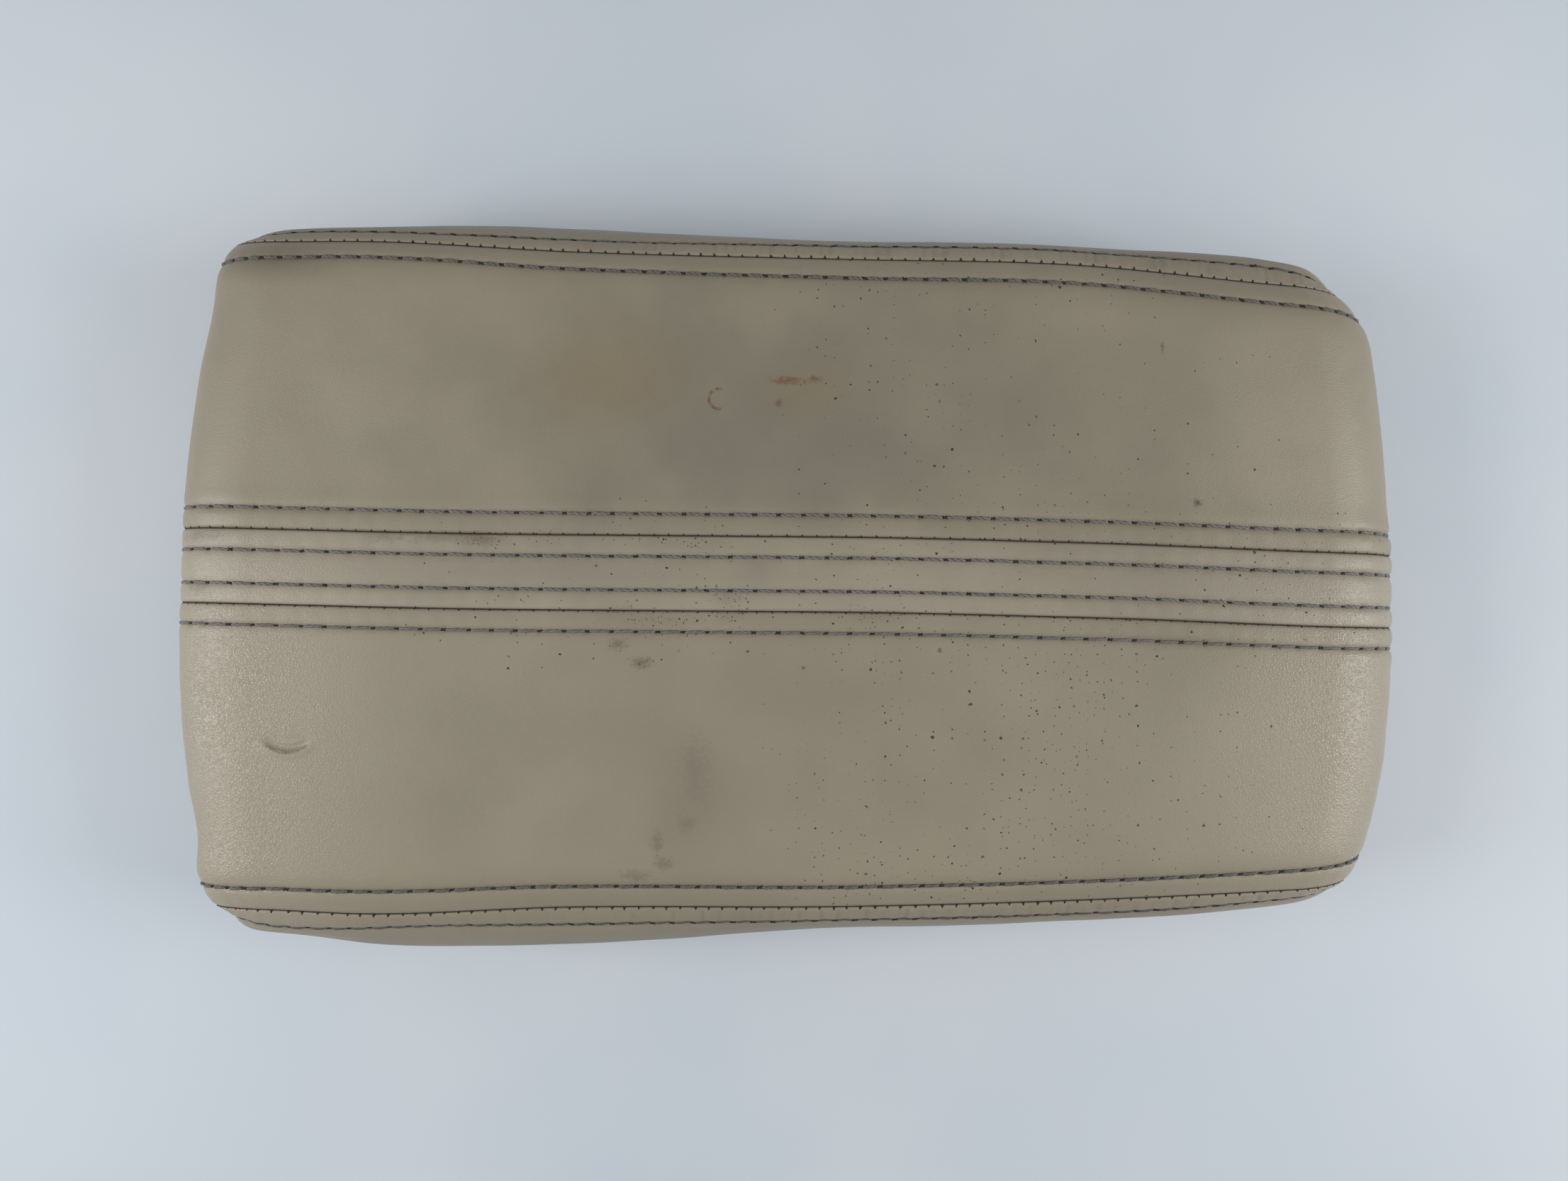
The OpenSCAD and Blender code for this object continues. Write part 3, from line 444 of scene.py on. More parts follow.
def sewn_surface(lines, seams, loose):
    """Face, back, and the dirt and painted shade of the leather between two seams.

    A seam is the distance from it as a function of y and half width, its needle places and how
    tightly it is drawn at the front. loose gives the unevenness where the leather is clear of both.
    """
    a, b = lines[None, :, 0], lines[None, :, 1]
    base, y, w = top_base(FACE, a, b)
    edges, sewn, dirt_and_shade, clear = 0, 0, 0, 1
    for distance, holes, drawn in seams:
        q, near = distance(y, w), nearest(S, holes)
        edge, row = seam_depth(q, GAP, near, drawn * FRONT_PULL)
        edges, sewn, clear = edges + edge, sewn + row, clear * smooth(q / CLEAR_OF_SEAM)
        dirt_and_shade = np.maximum(dirt_and_shade, dirt_and_shade_line(q, GAP, near))
    depth = edges + SHOWN * (sewn + loose(base, clear))
    return sunk(base, FACE, depth), top_base(BACK, a, b)[0], dirt_and_shade


def panel_surface(lines, side, seed, strip_holes, edge_holes, dent=0):
    """A top panel in the frame of its own side, which is 1 for the left and -1 for the right."""
    seams = [
        (lambda y, w: y - (HALF_STRIP + side * strip_shift(w)), strip_holes, 1),
        (lambda y, w: w - y, edge_holes, EDGE_DRAWN),
    ]
    return sewn_surface(
        lines, seams, lambda base, clear: clear * unevenness(base, seed) + dent * crescent(base * FLIP)
    )


def strip_surface(lines, seed):
    seams = [
        (lambda y, w: HALF_STRIP - (y - strip_shift(w)), STRIP_HOLES[1], 1),
        (lambda y, w: HALF_STRIP + (y - strip_shift(w)), STRIP_HOLES[2], 1),
    ]
    return sewn_surface(lines, seams, lambda base, _: 0.3 * unevenness(base, seed))


# Side panels

SIDE_Q = [SEAM_SLIT, 0.08, 0.2, 0.42, 0.85, 1.4, 2.1, 2.8, 3.5, 4.1, 4.5, 4.85, 5.2, 5.6, 6.2, 7.1, 8.4, 10]
SIDE_DOWN, SIDE_FOLD = 16, (5, 3, 4, 3)
FAR_FROM_SEAM = 60
END_LENGTH = 1.35  # distance along the panel for each millimetre in x, beside its two ends
# Fine puckers between the seam and the outer row: depth, shortest, longest, place and reach; fewer at the rear;
# dirt and painted shade in their creases
PUCKER, PUCKER_SHORT, PUCKER_LONG, PUCKER_AT, PUCKER_REACH = 0.11, 1.7, 3.2, 2.4, 1.5
PUCKER_REAR, PUCKER_FROM, PUCKER_OVER, PUCKER_DIRT_AND_SHADE = 0.35, -60, 50, 0.22


def flare_slope(fall):
    return FLARE / FLARE_DEPTH * np.exp(-np.maximum(0, fall) / FLARE_DEPTH)


def fall_of(q):
    """Height lost at distance q along the side from its seam."""
    fall = np.linspace(0, 30, 1201)
    slope = flare_slope(fall)
    run = np.concatenate([[0], np.cumsum(np.hypot(1, 0.5 * (slope[1:] + slope[:-1])) * np.diff(fall))])
    return np.interp(q, run, fall)


def side_flare(fall, x, ends):
    rear = 1 - np.exp(-np.maximum(0, x - ends[0]) / REAR_CORNER)
    front = 1 - np.exp(-np.maximum(0, ends[1] - x) / FRONT_CORNER)
    return FLARE * (1 - np.exp(-np.maximum(0, fall) / FLARE_DEPTH)) * rear * front


def side_shape(o):
    """The left side panel at depth o by column and line, seam to flange; its seam and stations."""
    st = {k: v[FIRST : LAST + 1] for k, v in (FACE if o == 0 else BACK).items()}
    seam = top_base(st, np.zeros((1, 1)), np.ones((1, 1)))[0][:, 0]
    x0, y0, z0 = seam[:, :1], seam[:, 1:2], seam[:, 2:]
    rim = base_z(st["x"] * HALF / (HALF - o))
    falls = fall_of(np.array(SIDE_Q))[None, :]
    low = z0 - falls[:, -1:]
    share = (np.arange(1, SIDE_DOWN + 1) / SIDE_DOWN)[None, :]
    z = np.hstack([z0 - falls, low - (low - rim - FOLD_R) * share])
    x = np.broadcast_to(x0, z.shape)
    y = y0 + side_flare(z0 - z, x, (x0[0, 0], x0[-1, 0]))
    # The line where the leather turns up inside the rim
    wrap_x = st["x"] * (HALF - WRAP_DEPTH) / (HALF - o)
    drop = cross_drop(seam_half(wrap_x), seam_half(wrap_x))
    bow = np.where(wrap_x < 0, REAR_BOW, FRONT_BOW)
    wrap_x = wrap_x + np.sign(wrap_x) * o * np.abs(wrap_x) / (HALF - WRAP_DEPTH)
    in_x = (wrap_x - st["bx"] * drop) * (1 - bow / HALF)
    in_y, in_z = seam_half(wrap_x) - (WRAP_DEPTH - o), WRAP_SEAM_Z - sag(wrap_x) - drop
    in_ends = in_x[0, 0], in_x[-1, 0]
    in_low = in_y + side_flare(in_z - rim, in_x, in_ends)
    in_top = in_y + side_flare(in_z - FLANGE_TOP, in_x, in_ends)
    # Outer fold, flat, inner fold and flange, as distance along that way and height
    r_out, r_in = FOLD_R - o, WRAP_R - o
    dx, dy = in_x - x0, in_low - y[:, -1:]
    length = np.hypot(dx, dy)
    level = 0 * length
    a1, a3 = (np.linspace(0, QUARTER, k + 1)[None, 1:] for k in SIDE_FOLD[::2])
    f2, f4 = (np.linspace(0, 1, k + 1)[None, 1:] for k in SIDE_FOLD[1::2])
    outer, flat = level + r_out * (1 - np.cos(a1)), r_out + (length - r_in - r_out) * f2
    along = np.hstack([outer, flat, length - r_in + r_in * np.sin(a3), length + 0 * f4])
    up = np.hstack([r_out * (1 - np.sin(a1)) + level, 0 * f2 + level, r_in * (1 - np.cos(a3)) + level])
    fold_z = np.hstack([rim + o + up, rim + WRAP_R + (FLANGE_TOP - rim - WRAP_R) * f4])
    fold_y = y[:, -1:] + dy / length * along
    fold_y[:, -SIDE_FOLD[3] :] += (in_top - in_low) * f4
    fold = (x0 + dx / length * along, fold_y, fold_z)
    return np.stack([np.concatenate(pair, 1) for pair in zip((x, y, z), fold)], -1), seam, st


def side_surface(seed):
    """Face of the left side panel, with its sewing detail, and its dirt and painted shade."""
    points, seam, st = side_shape(0)
    x0, z0 = seam[:, :1], seam[:, 2:]
    x, z = points[..., 0], points[..., 2]
    n_fold = sum(SIDE_FOLD)
    q_down = np.concatenate([SIDE_Q, np.full(SIDE_DOWN + n_fold, FAR_FROM_SEAM)])[None, :]
    q_end = END_LENGTH * np.minimum(x0 - x0[0], x0[-1] - x0) + SEAM_SLIT
    q = 1 / (q_down**-5 + q_end**-5) ** 0.2  # the lesser of the two, rounded where they meet
    shown = [np.ones(len(SIDE_Q) + SIDE_DOWN - 3), np.linspace(0.75, 0, 3), np.zeros(n_fold)]
    shown = np.concatenate(shown)[None, :]
    s = S[FIRST : LAST + 1]
    far = np.abs((s / EDGE_PITCH) % 1 - 0.5) * EDGE_PITCH
    edge, sewn = seam_depth(q, SIDE_ROW, far, 0)
    rough = 0.3 * waves(x, z * 1.6, seed, 7, 40, 110) + 0.05 * waves(x, z, seed + 1, 7, 12, 28)
    slope = flare_slope(z0 - z)
    normal = unit(np.stack([0 * slope, np.ones_like(slope), slope], -1))
    pucker = PUCKER * waves(s, 0.12 * q_down, seed + 2, 6, PUCKER_SHORT, PUCKER_LONG)
    pucker = pucker * bell(q - PUCKER_AT, PUCKER_REACH)
    pucker = pucker * (PUCKER_REAR + (1 - PUCKER_REAR) * smooth((x0 - PUCKER_FROM) / PUCKER_OVER))
    depth = shown * (sewn + pucker) + shown * smooth(q / CLEAR_OF_SEAM) * rough
    # Dirt and painted shade along the seam and its row, and in the creases of the puckers.
    dirt_and_shade = np.maximum(dirt_and_shade_line(q, SIDE_ROW, far), shown * PUCKER_DIRT_AND_SHADE * smooth(pucker / 0.14))
    return sunk(points - normal * depth[..., None], st, edge), dirt_and_shade


# Leather

left_lines, right_lines = panel_lines(1), panel_lines(-1, DENT_LINES)
half_q, strip_rest = np.array(NEAR_SEAM[:13]), HALF_STRIP - NEAR_SEAM[13]
strip_y = [half_q - HALF_STRIP, np.linspace(-strip_rest, strip_rest, 6), (HALF_STRIP - half_q)[::-1]]
strip_y = np.concatenate(strip_y)
strip_lines = np.stack([strip_y + SHIFT_A, np.full_like(strip_y, SHIFT_B)], -1)

# Each surface comes with its darkening: dirt and painted shade.
left_face, left_back, left_dirt_and_shade = panel_surface(left_lines, 1, 31, STRIP_HOLES[0], EDGE_HOLES[0])
right_face, right_back, right_dirt_and_shade = panel_surface(right_lines, -1, 41, STRIP_HOLES[3], EDGE_HOLES[1], 1)
strip_face, strip_back, strip_dirt_and_shade = strip_surface(strip_lines, 71)
left_face, left_back, strip_face, strip_back = map(settled, (left_face, left_back, strip_face, strip_back))
right_face, right_back = mirror_settled(right_face), mirror_settled(right_back)
side_back = side_shape(LEATHER)[0]
side_faces, side_dirt_and_shade = zip(side_surface(51), side_surface(61))
side_faces = [settled(side_faces[0]), mirror_settled(side_faces[1])]

# The back keeps every second row at the ends and every twelfth between them
end_rows_kept = [*range(0, ROLLED_END, 2), *range(ROLLED_START, len(S), 2)]
BACK_ROWS = sorted({*end_rows_kept, *range(ROLLED_END, ROLLED_START, 12), len(S) - 1})
side_rows = sorted({r - FIRST for r in BACK_ROWS if FIRST <= r <= LAST} | {0, LAST - FIRST})
left_cols = thinned(len(left_lines), 3, (1, len(left_lines) - 2))
right_cols = thinned(len(right_lines), 4, (1, len(right_lines) - 2))
strip_cols = thinned(len(strip_lines), 3)
side_cols = thinned(side_back.shape[1], 2, range(len(SIDE_Q) + SIDE_DOWN - 1, side_back.shape[1]))

leather = {
    (place, kind): closed_sheet(f"leather_{place}_{kind}", *sheet)
    for place, kind, *sheet in (
        ("left", "panel", left_face, left_back, left_dirt_and_shade, BACK_ROWS, left_cols, False),
        ("centre", "strip", strip_face, strip_back, strip_dirt_and_shade, BACK_ROWS, strip_cols, False),
        ("right", "panel", right_face, right_back, right_dirt_and_shade, BACK_ROWS, right_cols, True),
        ("left", "side", side_faces[0], settled(side_back), side_dirt_and_shade[0], side_rows, side_cols, False),
        ("right", "side", side_faces[1], mirror_settled(side_back), side_dirt_and_shade[1], side_rows, side_cols, True),
    )
}

# Thread


def grid_normals(points):
    n = np.cross(np.gradient(points, axis=0), np.gradient(points, axis=1))
    return n / np.maximum(np.linalg.norm(n, axis=-1, keepdims=True), 1e-9)


def blended(grid, i, j):
    """Values of a grid of points at fractional row and column numbers."""
    r, c = (np.clip(np.floor(v).astype(int), 0, n - 2) for v, n in zip((i, j), grid.shape))
    u, v = (i - r)[..., None], (j - c)[..., None]
    near = (1 - v) * grid[r, c] + v * grid[r, c + 1]
    far = (1 - v) * grid[r + 1, c] + v * grid[r + 1, c + 1]
    return (1 - u) * near + u * far


def ring_faces(count, rings, sides):
    """Quads and end caps of closed tubes, whose points go by tube, ring and side."""
    i = np.arange(count * rings * sides).reshape(count, rings, sides)
    j = np.roll(i, -1, axis=2)
    quads = np.stack([i[:, :-1], j[:, :-1], j[:, 1:], i[:, 1:]], -1).reshape(-1, 4)
    return quads.tolist() + i[:, 0, ::-1].tolist() + i[:, -1].tolist()


def tubes(paths, ups, radius, sides, twist=None, lobes=0, flat=1):
    """Points, faces and swelling of closed tubes; paths is (tubes, points, 3), radius (tubes, points).

    With a twist angle per point the section has three lobes that wind along the tube.
    """
    count, rings = paths.shape[:2]
    tangent = unit(np.gradient(paths, axis=1))
    u = unit(ups - tangent * np.sum(ups * tangent, -1, keepdims=True))
    v = np.cross(tangent, u)
    a = TURN * np.arange(sides) / sides
    ring = flat * np.cos(a)[:, None] * u[:, :, None, :] + np.sin(a)[:, None] * v[:, :, None, :]
    swell = np.ones((count, rings, sides)) if twist is None else 1 + lobes * np.cos(3 * (a - twist[..., None]))
    points = paths[:, :, None, :] + (radius[:, :, None] * swell)[..., None] * ring
    return points.reshape(-1, 3), ring_faces(count, rings, sides), swell


def row_frame(path, normal, s, places):
    """Points on a row with the leather's normal, the row's direction and the way across it."""

    def at(table):
        return np.stack([np.interp(places, s, table[:, k]) for k in range(3)], -1)

    up, along = unit(at(normal)), at(np.gradient(path, axis=0))
    along = unit(along - up * np.sum(along * up, -1, keepdims=True))
    return at(path), up, along, np.cross(up, along)


STITCH_POINTS, STITCH_SIDES, STITCH_TWISTS, STITCH_LOBES, STITCH_FLAT = 12, 12, 1.1, 0.16, 0.8


def stitch_row(path, normal, s, holes, seed, width, sink, arch, row_shade):
    """Twisted stitches from needle hole to needle hole, each lying a little aslant."""
    rng = np.random.default_rng(seed)
    count = len(holes) - 1
    u = np.linspace(0, 1, STITCH_POINTS)[None, :]
    hump = np.sin(math.pi * u)
    centre, up, _, side = row_frame(path, normal, s, holes[:-1, None] + np.diff(holes)[:, None] * (0.03 + 0.94 * u))
    lift = width * (-0.4 + 0.6 * hump**0.5) - sink + rng.uniform(-0.03, 0.03, (count, 1))
    drift = 0.14 * width * (1 - 2 * u) - arch * hump + rng.uniform(-0.07, 0.07, (count, 1))
    centre = centre + up * lift[..., None] + side * drift[..., None]
    taper = np.clip(hump * 2.3, 0, 1) ** 0.8
    radius = 0.5 * width * (0.42 + 0.58 * taper) * rng.uniform(0.93, 1.06, (count, 1))
    twist = TURN * STITCH_TWISTS * u + rng.uniform(0, 6, (count, 1))
    points, faces, swell = tubes(centre, up, radius, STITCH_SIDES, twist, STITCH_LOBES, STITCH_FLAT)
    # Painted shade on the thread: dark in the valleys of its twist, at its ends where it goes into the holes, and
    # all along the sunk outer rows.
    valley = 0.75 * smooth((1.05 - swell) / 0.2)
    ends = 0.95 * (1 - smooth(taper / 0.85))[..., None]
    return points, faces, np.maximum(np.maximum(valley, row_shade), ends * np.ones_like(swell)).ravel()


def crosses(path, normal, s, holes, seed, width, sink):
    """The crossing of two stitches at each needle hole, as two short arched slivers, made dark as painted shade
    where the thread goes into the hole.
    """
    rng = np.random.default_rng(seed + 300)
    count = len(holes)
    centre, up, along, side = row_frame(path, normal, s, holes[:, None] + np.zeros((1, 5)))
    reach = np.linspace(-1, 1, 5)[None, :]
    arms = []
    for lean in (1, -1):
        turn = np.radians(rng.uniform(18, 36, (count, 1))) * lean
        size = width * rng.uniform(0.85, 1.25, (count, 1))
        arm = along * (np.cos(turn) * size * reach)[..., None] + side * (np.sin(turn) * size * reach)[..., None]
        arms.append(centre + arm + up * (0.3 * width - sink - 0.16 * width * reach**2)[..., None])
    radius = 0.24 * width * (1 - 0.65 * np.abs(reach)) * np.ones((2 * count, 1))
    return tubes(np.concatenate(arms), np.concatenate([up, up]), radius, 6)[:2]


def lenses(path, normal, s, holes, width):
    """Small dark lens shapes, one at each needle hole, as painted shade in the holes."""
    centre, up, along, side = row_frame(path, normal, s, holes)
    half_long, half_wide, height, sides = 0.7 * width, 0.42 * width, 0.06, 8
    centre = centre + 0.02 * up
    a = TURN * np.arange(sides)[:, None] / sides
    ring = centre[:, None] + half_long * np.cos(a) * along[:, None] + half_wide * np.sin(a) * side[:, None]
    points = np.hstack([ring, (centre + height * up)[:, None], (centre - 3 * height * up)[:, None]])
    base = (np.arange(len(holes)) * (sides + 2))[:, None]
    k = np.arange(sides)[None, :]
    following = (k + 1) % sides
    top = np.stack([base + k, base + following, base + sides + 0 * k], -1).reshape(-1, 3)
    low = np.stack([base + following, base + k, base + sides + 1 + 0 * k], -1).reshape(-1, 3)
    return points.reshape(-1, 3), top.tolist() + low.tolist()


strip_parts, edge_parts, hole_parts, seam_parts = [], [], [], []


def add_row(parts, path, normal, s, holes, seed, width, flip, sink=0, arch=0, row_shade=0):
    row = stitch_row(path, normal, s, holes, seed, width, sink, arch, row_shade)
    spots = lenses(path, normal, s, holes, width)
    knots = crosses(path, normal, s, holes, seed, width, sink)
    for group, made in ((parts, row), (hole_parts, spots), (hole_parts, knots)):
        group.append(mirrored(*made) if flip else made)


def row_path(surface, lines, wanted):
    """Path and normals of the line of a surface nearest to the wanted [a, b]."""
    k = int(np.argmin(np.abs(lines - np.array(wanted)).sum(1)))
    return surface[:, k], grid_normals(surface)[:, k]


def beside_strip(y, side=1):
    return [y + side * SHIFT_A, side * SHIFT_B]


left, strip, right = (left_face, left_lines), (strip_face, strip_lines), (right_face, right_lines)
for seed, (parts, leather_and_lines, line, holes, width, flip) in enumerate(
    (
        (strip_parts, left, beside_strip(HALF_STRIP + GAP), STRIP_HOLES[0], STRIP_THREAD, False),
        (strip_parts, strip, beside_strip(HALF_STRIP - GAP), STRIP_HOLES[1], STRIP_THREAD, False),
        (strip_parts, strip, beside_strip(GAP - HALF_STRIP), STRIP_HOLES[2], STRIP_THREAD, False),
        (strip_parts, right, beside_strip(HALF_STRIP + GAP, -1), STRIP_HOLES[3], STRIP_THREAD, True),
        (edge_parts, left, [-GAP, 1], EDGE_HOLES[0], EDGE_THREAD, False),
        (edge_parts, right, [-GAP, 1], EDGE_HOLES[1], EDGE_THREAD, True),
    ),
    start=1,
):
    add_row(parts, *row_path(*leather_and_lines, line), S_LINE, holes, seed, width, flip)

LEG_POINTS, RUN_POINTS = 60, 900
CORNER_LINES, CORNER_COLUMNS = 3.2, 9


def side_row_path(face):
    """The outer row, which follows the edge seam and turns down beside it at both ends."""
    x = face[:, 0, 0]
    away = END_LENGTH * np.minimum(x - x[0], x[-1] - x)
    half = len(x) // 2
    first = float(np.interp(SIDE_ROW, away[:half], np.arange(half)))
    last = float(np.interp(-SIDE_ROW, -away[half:], np.arange(half, len(x))))
    row = float(np.interp(SIDE_ROW, SIDE_Q, np.arange(len(SIDE_Q))))
    turn = np.linspace(0, QUARTER, 12)[1:-1]
    up = np.linspace(len(SIDE_Q) + SIDE_DOWN - 2.5, row + CORNER_LINES, LEG_POINTS)

    def leg(col, way):
        """One end of the row, up from the rim and round the corner, as columns and lines of the grid."""
        cols = np.concatenate([np.full(LEG_POINTS, col), col + way * CORNER_COLUMNS * (1 - np.cos(turn))])
        return cols, np.concatenate([up, row + CORNER_LINES * (1 - np.sin(turn))])

    straight = np.linspace(first + CORNER_COLUMNS, last - CORNER_COLUMNS, RUN_POINTS), np.full(RUN_POINTS, row)
    cols, lines = np.hstack([leg(first, 1), straight, np.flip(leg(last, -1), 1)])
    return blended(face, cols, lines), blended(grid_normals(face), cols, lines)


# How far the outer rows sink, and how dark they are made as painted shade of their sinking.
SIDE_SINK, SIDE_ROW_SHADE = 0.1, 0.5
for index, (face, arch) in enumerate(zip(side_faces, (0.28, 0.08))):
    path, normal = side_row_path(face)
    run = np.concatenate([[0], np.cumsum(np.linalg.norm(np.diff(path, axis=0), axis=1))])
    holes = needle_places(25 + index, EDGE_PITCH, run[0] + SIDE_MARGIN, run[-1] - SIDE_MARGIN)
    add_row(edge_parts, path, normal, run, holes, 7 + index, SIDE_THREAD, index == 1, SIDE_SINK, arch, SIDE_ROW_SHADE)

# Dark thread that shows in the bottom of the four seams, with the notches it pulls in the leather, drawn darker as
# painted shade of the groove and of the notches

CORD_DEPTH = 0.62 * LIP_DEPTH
STRIP_CORD, EDGE_CORD = 0.22, 0.13
SIDE_NOTCH_SIZE, STRIP_NOTCH_SIZE = 0.8, 0.55
NOTCH_LEVELS = np.array([[0.02, 0.1, 0.22, 0.4, 0.65, 1]])
NOTCH_OVER, NOTCH_UNDER = 0.06, 0.2


def seam_cord(line, sign, radius):
    base = top_base(FACE, np.full((1, 1), line[0]), np.full((1, 1), line[1]))[0]
    path = (settled if sign > 0 else mirror_settled)(sunk(base, FACE, np.full((len(S), 1), CORD_DEPTH)))[:, 0]
    keep = [i for i in range(len(S)) if S_FIRST_WALL - 1 <= S_LINE[i] <= S_LAST_WALL + 1][::2]
    wobble = 1 + 0.25 * waves(S_LINE[keep], 0 * S_LINE[keep], 90 + int(10 * abs(line[0])), 5, 1.6, 6)
    points, faces, _ = tubes(path[None, keep], normals_of(FACE)[None, keep], radius * wobble[None, :], 6)
    return mirrored(points, faces) if sign < 0 else (points, faces)


def notches(face, q_of_line, s, pitch, seed, size, low, high, mirror):
    """Small dark notches that open beside a seam at each of its stitches, their darkness painted shade."""
    rng = np.random.default_rng(seed)
    places = np.arange(low, high, pitch)
    places = places + rng.uniform(-0.25, 0.25, len(places))
    long, deep = (size * rng.uniform(0.75, 1.15, (len(places), 1)) for _ in range(2))
    tip = rng.uniform(-0.3, 0.1, (len(places), 1))
    half = 0.5 * (1 - NOTCH_LEVELS) ** 0.8 + 0.04
    j = np.interp(deep * NOTCH_LEVELS, q_of_line, np.arange(len(q_of_line)))
    shells = []
    for edge in (-1, 1):
        i = np.interp(places[:, None] + long * (tip * NOTCH_LEVELS + edge * half), s, np.arange(len(s)))
        spot, up = blended(face, i, j), blended(grid_normals(face), i, j)
        shells += [spot + NOTCH_OVER * up, spot - NOTCH_UNDER * up]
    over, under, over_next, under_next = shells
    rings = np.stack([over, over_next, under_next, under], 2)
    points, faces = rings.reshape(-1, 3), ring_faces(*rings.shape[:3])
    return mirrored(points, faces) if mirror else (points, faces)


for sign in (1, -1):
    seam_parts.append(seam_cord(beside_strip(HALF_STRIP, sign), sign, STRIP_CORD))
    seam_parts.append(seam_cord([0, 1], sign, EDGE_CORD))
side_s = S_LINE[FIRST : LAST + 1]
for index, face in enumerate(side_faces):
    span = (side_s[0] + NOTCH_MARGIN, side_s[-1] - NOTCH_MARGIN)
    made = notches(face, SIDE_Q[:12], side_s, EDGE_NOTCH, 81 + index, SIDE_NOTCH_SIZE, *span, index == 1)
    seam_parts.append(made)
for index, face in enumerate((left_face, right_face)):
    span = (S_FIRST_WALL + NOTCH_MARGIN, S_LAST_WALL - NOTCH_MARGIN)
    made = notches(face, NEAR_SEAM[:12], S_LINE, STRIP_NOTCH, 83 + index, STRIP_NOTCH_SIZE, *span, index == 1)
    seam_parts.append(made)


def joined(name, parts):
    """One object of several meshes, each with its points, faces and its dirt and painted shade, if any."""
    points, faces, dirt_and_shade, start = [], [], [], 0
    for p, f, *d in parts:
        points.append(p)
        faces += [[i + start for i in face] for face in f]
        dirt_and_shade.append(d[0] if d else np.zeros(len(p)))
        start += len(p)
    return mesh_object(name, np.concatenate(points), faces, np.concatenate(dirt_and_shade))


strip_stitches = joined("strip_stitches", strip_parts)
edge_stitches = joined("edge_stitches", edge_parts)
needle_holes = joined("needle_holes", hole_parts)
seam_threads_and_shade = joined("seam_threads_and_shade", seam_parts)

# Foam pad under the leather

FOAM_WALL, FOAM_ROLL, FOAM_TOP, FOAM_ACROSS = 8, 12, 41, 32


def foam_layer(layer, lines):
    """Top grid and left side grid of a foam surface, with matching edges."""
    e, top = HALF - layer["inset"], TOP - layer["drop"]

    def end(sign, roll):
        rim = base_z(sign * HALF) + layer["lift"]
        wall = [(e, z, 1, 0) for z in np.linspace(rim, top - roll[1] - sag(e), FOAM_WALL + 1)[:-1]]
        rows = np.concatenate([wall, rolled(e, top - roll[1], *roll, FOAM_ROLL)])
        rows[:, [0, 2]] *= sign
        return rows

    rear, front = end(-1, layer["rear"]), end(1, layer["front"])[::-1]
    x = np.linspace(rear[-1, 0], front[0, 0], FOAM_TOP + 1)[1:-1]
    table = np.concatenate([rear, np.stack([x, top - sag(x), 0 * x, 1 + 0 * x], -1), front])
    st = {k: table[:, i : i + 1] for i, k in enumerate(["x", "z", "bx", "bz"])}
    st["inset"] = np.full_like(st["x"], layer["inset"])
    grid = top_base(st, np.zeros((1, len(lines))), lines[None, :])[0]
    x0, y0, z0 = np.split(grid[FOAM_WALL:-FOAM_WALL, -1], 3, axis=1)
    rim = base_z(st["x"][FOAM_WALL:-FOAM_WALL] * HALF / e) + layer["lift"]
    z = z0 + (rim - z0) * np.linspace(0, 1, FOAM_WALL + 1)[None, :]
    y = y0 + side_flare(z0 - z, x0, (x0[0, 0], x0[-1, 0]))
    return grid, np.stack([np.broadcast_to(x0, z.shape), y, z], -1)


def foam_object(name):
    lines = np.sin(np.linspace(-QUARTER, QUARTER, FOAM_ACROSS + 1))
    builder = bmesh.new()
    rims = []

    def skin(rows):
        v = [[builder.verts.new(p * MM) for p in row] for row in rows]
        for near, far in zip(v, v[1:]):
            for c in range(len(near) - 1):
                builder.faces.new((near[c], far[c], far[c + 1], near[c + 1]))

    for layer in (FOAM_SKIN, FOAM_CORE):
        grid, side = foam_layer(layer, lines)
        other = side * FLIP
        for points in (grid, side, other):
            skin(settled(points))
        rims.append([settled(p) for p in (grid[0], grid[-1], side[:, -1], other[:, -1])])
    for outer, inner in zip(*rims):
        skin(zip(outer, inner))
    bmesh.ops.remove_doubles(builder, verts=builder.verts, dist=2e-6)
    bmesh.ops.recalc_face_normals(builder, faces=builder.faces)
    mesh = bpy.data.meshes.new(name)
    builder.to_mesh(mesh)
    builder.free()
    return smooth_object(name, mesh)


foam = foam_object("moulded_foam")

# Springs, wound finer than in the CAD source

HINGE_AT, LATCH_AT = (-143, 8.5), (112, 9)
HINGE_COIL = dict(r=3.8, pitch=1.5, start=-90, sweep=2340, legs=((16, -5.8), (17, 4.8)), wire=0.8)
LATCH_COIL = dict(r=3.1, pitch=1.4, start=75, sweep=1410, legs=((-9, 4.3), (9, -0.7)), wire=0.8)
COIL_STEP = 12


def spring(name, place, coil):
    """A torsion spring about the Y axis with its two legs, and its length."""
    rise = coil["pitch"] * coil["sweep"] / 360
    f = np.linspace(0, 1, int(coil["sweep"] / COIL_STEP) + 1)
    a = np.radians(coil["start"] - coil["sweep"] * f)
    turns = np.stack([coil["r"] * np.cos(a), rise * (f - 0.5), coil["r"] * np.sin(a)], -1)
    legs = []
    for end, leg in zip((turns[0], turns[-1]), coil["legs"]):
        tip = np.array([leg[0], end[1], leg[1]])
        legs.append(end + (tip - end) * np.linspace(0.08, 1, 8)[:, None])
    path = np.concatenate([legs[0][::-1], turns, legs[1]])
    ups = path * np.array([1, 0, 1])
    points, faces, _ = tubes(path[None], ups[None], np.full((1, len(path)), coil["wire"] / 2), 10)
    return mesh_object(name, points + np.array([place[0], 0, place[1]]), faces), rise


